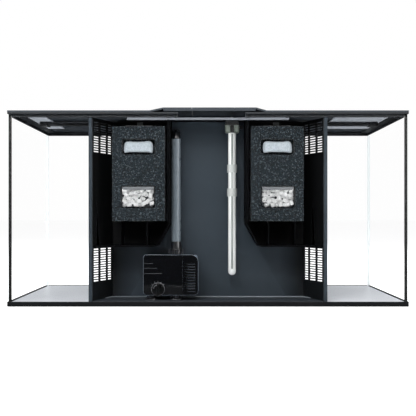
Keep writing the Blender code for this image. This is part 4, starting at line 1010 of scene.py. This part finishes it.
def white_studio():
    """White to the camera, and a soft grey as a light, so that dark surfaces stay dark."""
    world = bpy.data.worlds.new("studio")
    bpy.context.scene.world = world
    world.use_nodes = True
    tree = world.node_tree
    tree.nodes.clear()
    path = tree.nodes.new("ShaderNodeLightPath")
    out = tree.nodes.new("ShaderNodeOutputWorld")
    shader = None
    for strength, ray in ((0.20, None), (0.04, "Is Glossy Ray"), (1.0, "Is Camera Ray")):
        layer = tree.nodes.new("ShaderNodeBackground")
        layer.inputs["Color"].default_value = (1.0, 1.0, 1.0, 1.0)
        layer.inputs["Strength"].default_value = strength
        if ray is None:
            shader = layer.outputs[0]
            continue
        mix = tree.nodes.new("ShaderNodeMixShader")
        tree.links.new(path.outputs[ray], mix.inputs[0])
        tree.links.new(shader, mix.inputs[1])
        tree.links.new(layer.outputs[0], mix.inputs[2])
        shader = mix.outputs[0]
    tree.links.new(shader, out.inputs["Surface"])


def softbox(name, place, target, size, power, only_shine=False):
    """A rectangular lamp that the camera doesn't see. One with only_shine lights nothing but reflections."""
    data = bpy.data.lights.new(name, "AREA")
    data.shape = "RECTANGLE"
    data.size, data.size_y = size
    data.energy = power
    made = bpy.data.objects.new(name, data)
    bpy.context.scene.collection.objects.link(made)
    made.location = place
    made.rotation_euler = (Vector(target) - Vector(place)).to_track_quat("-Z", "Y").to_euler()
    made.visible_camera = False
    made.visible_diffuse = not only_shine


CAMERA_PLACE = (0.0, -1.805, 0.185)
CAMERA_LENS = 68.3  # mm, on a sensor of 36 mm
CAMERA_SHIFT = 0.0192


def camera():
    """Level with the middle of the tank and square to its rear pane."""
    data = bpy.data.cameras.new("camera")
    data.lens = CAMERA_LENS
    data.sensor_width = 36.0
    data.shift_y = CAMERA_SHIFT
    data.clip_end = 100.0
    made = bpy.data.objects.new("camera", data)
    bpy.context.scene.collection.objects.link(made)
    made.location = CAMERA_PLACE
    made.rotation_euler = (math.pi / 2, 0.0, 0.0)
    bpy.context.scene.camera = made


camera()
white_studio()
floor()
# name, place, target, size and power in watts
softbox("key", (-0.5, -2.1, 1.75), (0.0, -0.1, 0.2), (1.9, 0.9), 43.0)
softbox("front_fill", (0.6, 2.4, 2.0), (0.0, 0.0, 0.2), (1.8, 1.0), 36.0)
softbox("overhead", (0.0, -0.1, 2.3), (0.0, 0.0, 0.4), (1.6, 1.2), 18.0)
softbox("top_shine", (-0.2, -1.9, 1.75), (0.0, -0.15, 0.1), (2.4, 1.7), 70.0, only_shine=True)
softbox("right_shine", (1.75, -1.5, 0.45), (0.0, -0.15, 0.1), (0.8, 1.7), 60.0, only_shine=True)
softbox("left_shine", (-1.75, -1.5, 0.45), (0.0, -0.15, 0.1), (0.5, 1.7), 24.0, only_shine=True)

# ---------------------------------------------------------------- dressing the CAD nodes

dress(moulded("base_trim_plastic", (0.0035, 0.0045, 0.006), 0.42, gloss=0.15, edge_scuff_and_highlight=0.8), "base_trim", 0.0009)
dress(pane_glass("rear_and_front_glass", (0.0, 1.0, 0.0)), "rear_glass front_glass")
dress(pane_glass("side_glass", (1.0, 0.0, 0.0), bonded=True), "left_glass right_glass")
dress(painted_bottom_glass(), "bottom_glass")
dress(rubber("black_silicone", (0.003, 0.003, 0.0035), 0.38), "corner_seal_rear_left corner_seal_rear_right")
dress(silicone_with_painted_glow(), "corner_seal_front_left corner_seal_front_right")
dress(moulded("top_frame_plastic", (0.012, 0.015, 0.019), 0.45, gloss=0.3), "top_frame", 0.0006)
dress(moulded("rail_plastic", (0.17, 0.185, 0.21), 0.40, gloss=0.2), "top_rail", 0.0005)
dress(moulded("hood_plastic", (0.034, 0.042, 0.052), 0.52, 0.00005, 0.2), "hood_shell service_flap", 0.0007)
dress(metal("hinge_steel", (0.55, 0.56, 0.57), 0.28), "flap_hinge_pin")
dress(moulded("liner_plastic", (0.34, 0.37, 0.41), 0.5), "hood_liner_left hood_liner_right")
dress(
    moulded("lamp_plastic", (0.010, 0.011, 0.013), 0.4, gloss=0.3),
    "lamp_housing lamp_bracket_left lamp_bracket_right",
)
dress(frosted_lens(), "lamp_lens")
dress(moulded("led_board_white", (0.70, 0.70, 0.68), 0.55), "led_board")
dress(chamber_plastic(), "compartment_shell", 0.0003)
dress(moulded("compartment_floor_plastic", (0.042, 0.050, 0.062), 0.45, gloss=0.2), "compartment_floor")
dress(
    moulded("divider_plastic", (0.0016, 0.0019, 0.0024), 0.6, gloss=0.02, edge_scuff_and_highlight=0.0),
    "divider_left divider_right",
)
dress(
    moulded("handle_plastic", (0.035, 0.040, 0.045), 0.45),
    "cartridge_handle_left cartridge_handle_right",
    0.0003,
)
# The pump's pale bluish edges are a painted highlight.
dress(
    moulded("pump_plastic", (0.0012, 0.0015, 0.0024), 0.13, 0.000004, 0.55, 0.9, painted_edge_highlight=(0.62, 0.74, 0.90)),
    "pump_housing pump_intake_cover",
    0.0004,
)
dress(moulded("volute_plastic", (0.010, 0.011, 0.013), 0.3), "volute_cover")
dress(fired_ceramic("impeller_ferrite", (0.045, 0.042, 0.040), 0.0004), "impeller")
dress(fired_ceramic("shaft_ceramic", (0.78, 0.78, 0.76), 0.0003), "impeller_shaft")
DIAL = moulded("dial_plastic", (0.003, 0.0033, 0.004), 0.25, gloss=0.3, edge_scuff_and_highlight=0.9)
dress(DIAL, "flow_dial", 0.0004)
dress(
    rubber("foot_rubber", (0.009, 0.009, 0.010), 0.3),
    "pump_foot_front_left pump_foot_front_right pump_foot_rear_left pump_foot_rear_right"
    " pump_cable_gland heater_cable_gland",
)
dress(
    moulded("fitting_plastic", (0.0030, 0.0040, 0.0060), 0.34, gloss=0.4, edge_scuff_and_highlight=0.2),
    "pump_outlet union_nut hose_connector return_elbow nozzle_nut return_nozzle",
    0.0003,
)
dress(soft_hose(), "return_hose")
dress(opal_glass(), "heater_tube")
dress(fired_ceramic("heater_core", (0.36, 0.39, 0.39)), "heater_element")
dress(moulded("heater_head_plastic", (0.155, 0.185, 0.160), 0.42), "heater_head heater_knob", 0.0004)
dress(moulded("heater_collar_plastic", (0.010, 0.012, 0.014), 0.4), "heater_collar", 0.0004)
dress(rubber("clip_rubber", (0.50, 0.53, 0.52), 0.45, dust=0.2), "heater_clip_lower heater_clip_upper")

# ---------------------------------------------------------------- media and detail pieces

FOAM = open_cell_foam()
FLEECE = fleece()
CERAMIC = fired_ceramic("ring_ceramic", (0.93, 0.94, 0.94))
NET = net_thread("net_thread", (0.16, 0.17, 0.18))
CUFF = net_thread("cuff_cloth", (0.16, 0.175, 0.19))

for side_name, side in SIDES:
    foam_block(side_name, FOAM)
    fleece_pouch(side_name, FLEECE)
    ceramic_rings(side_name, RING_SEED + side, CERAMIC)
    media_net(side_name, NET)
    media_cuff(side_name, CUFF)

# Ribs paler than the pump: painted highlight.
pump_ribs(moulded("pump_rib_plastic", (0.020, 0.022, 0.026), 0.25, edge_scuff_and_highlight=0.9))
# Lips paler than the cover: painted highlight.
grille_lips(moulded("grille_lip_plastic", (0.050, 0.060, 0.075), 0.25, edge_scuff_and_highlight=0.9))
# Ribs paler than the nut: painted highlight.
nut_ribs(moulded("nut_rib_plastic", (0.016, 0.020, 0.028), 0.36, gloss=0.4))
# Lips paler than the cups: painted highlights.
foot_rims(moulded("foot_lip_rubber", (0.06, 0.065, 0.075), 0.2, edge_scuff_and_highlight=0.2))
pump_lower_panels(moulded("pump_panel_plastic", (0.0045, 0.0052, 0.0065), 0.24, edge_scuff_and_highlight=0.25))
# Pale pointer, lip and ticks: the dial's marking and painted highlights.
dial_detail(DIAL, moulded("dial_mark", (0.10, 0.105, 0.115), 0.25))
heater_strip(moulded("heater_strip_grey", (0.30, 0.33, 0.32), 0.35, edge_scuff_and_highlight=0.0))
heater_insert(moulded("heater_black", (0.003, 0.0035, 0.004), 0.4, edge_scuff_and_highlight=0.2))
# Pale bead: painted highlight along the joint of walls and floor.
wall_beads(moulded("bead_plastic", (0.22, 0.25, 0.28), 0.35, edge_scuff_and_highlight=0.2))
rim_clips(moulded("clip_plastic", (0.004, 0.005, 0.006), 0.4, edge_scuff_and_highlight=0.2))

bpy.context.scene.view_settings.view_transform = "Standard"
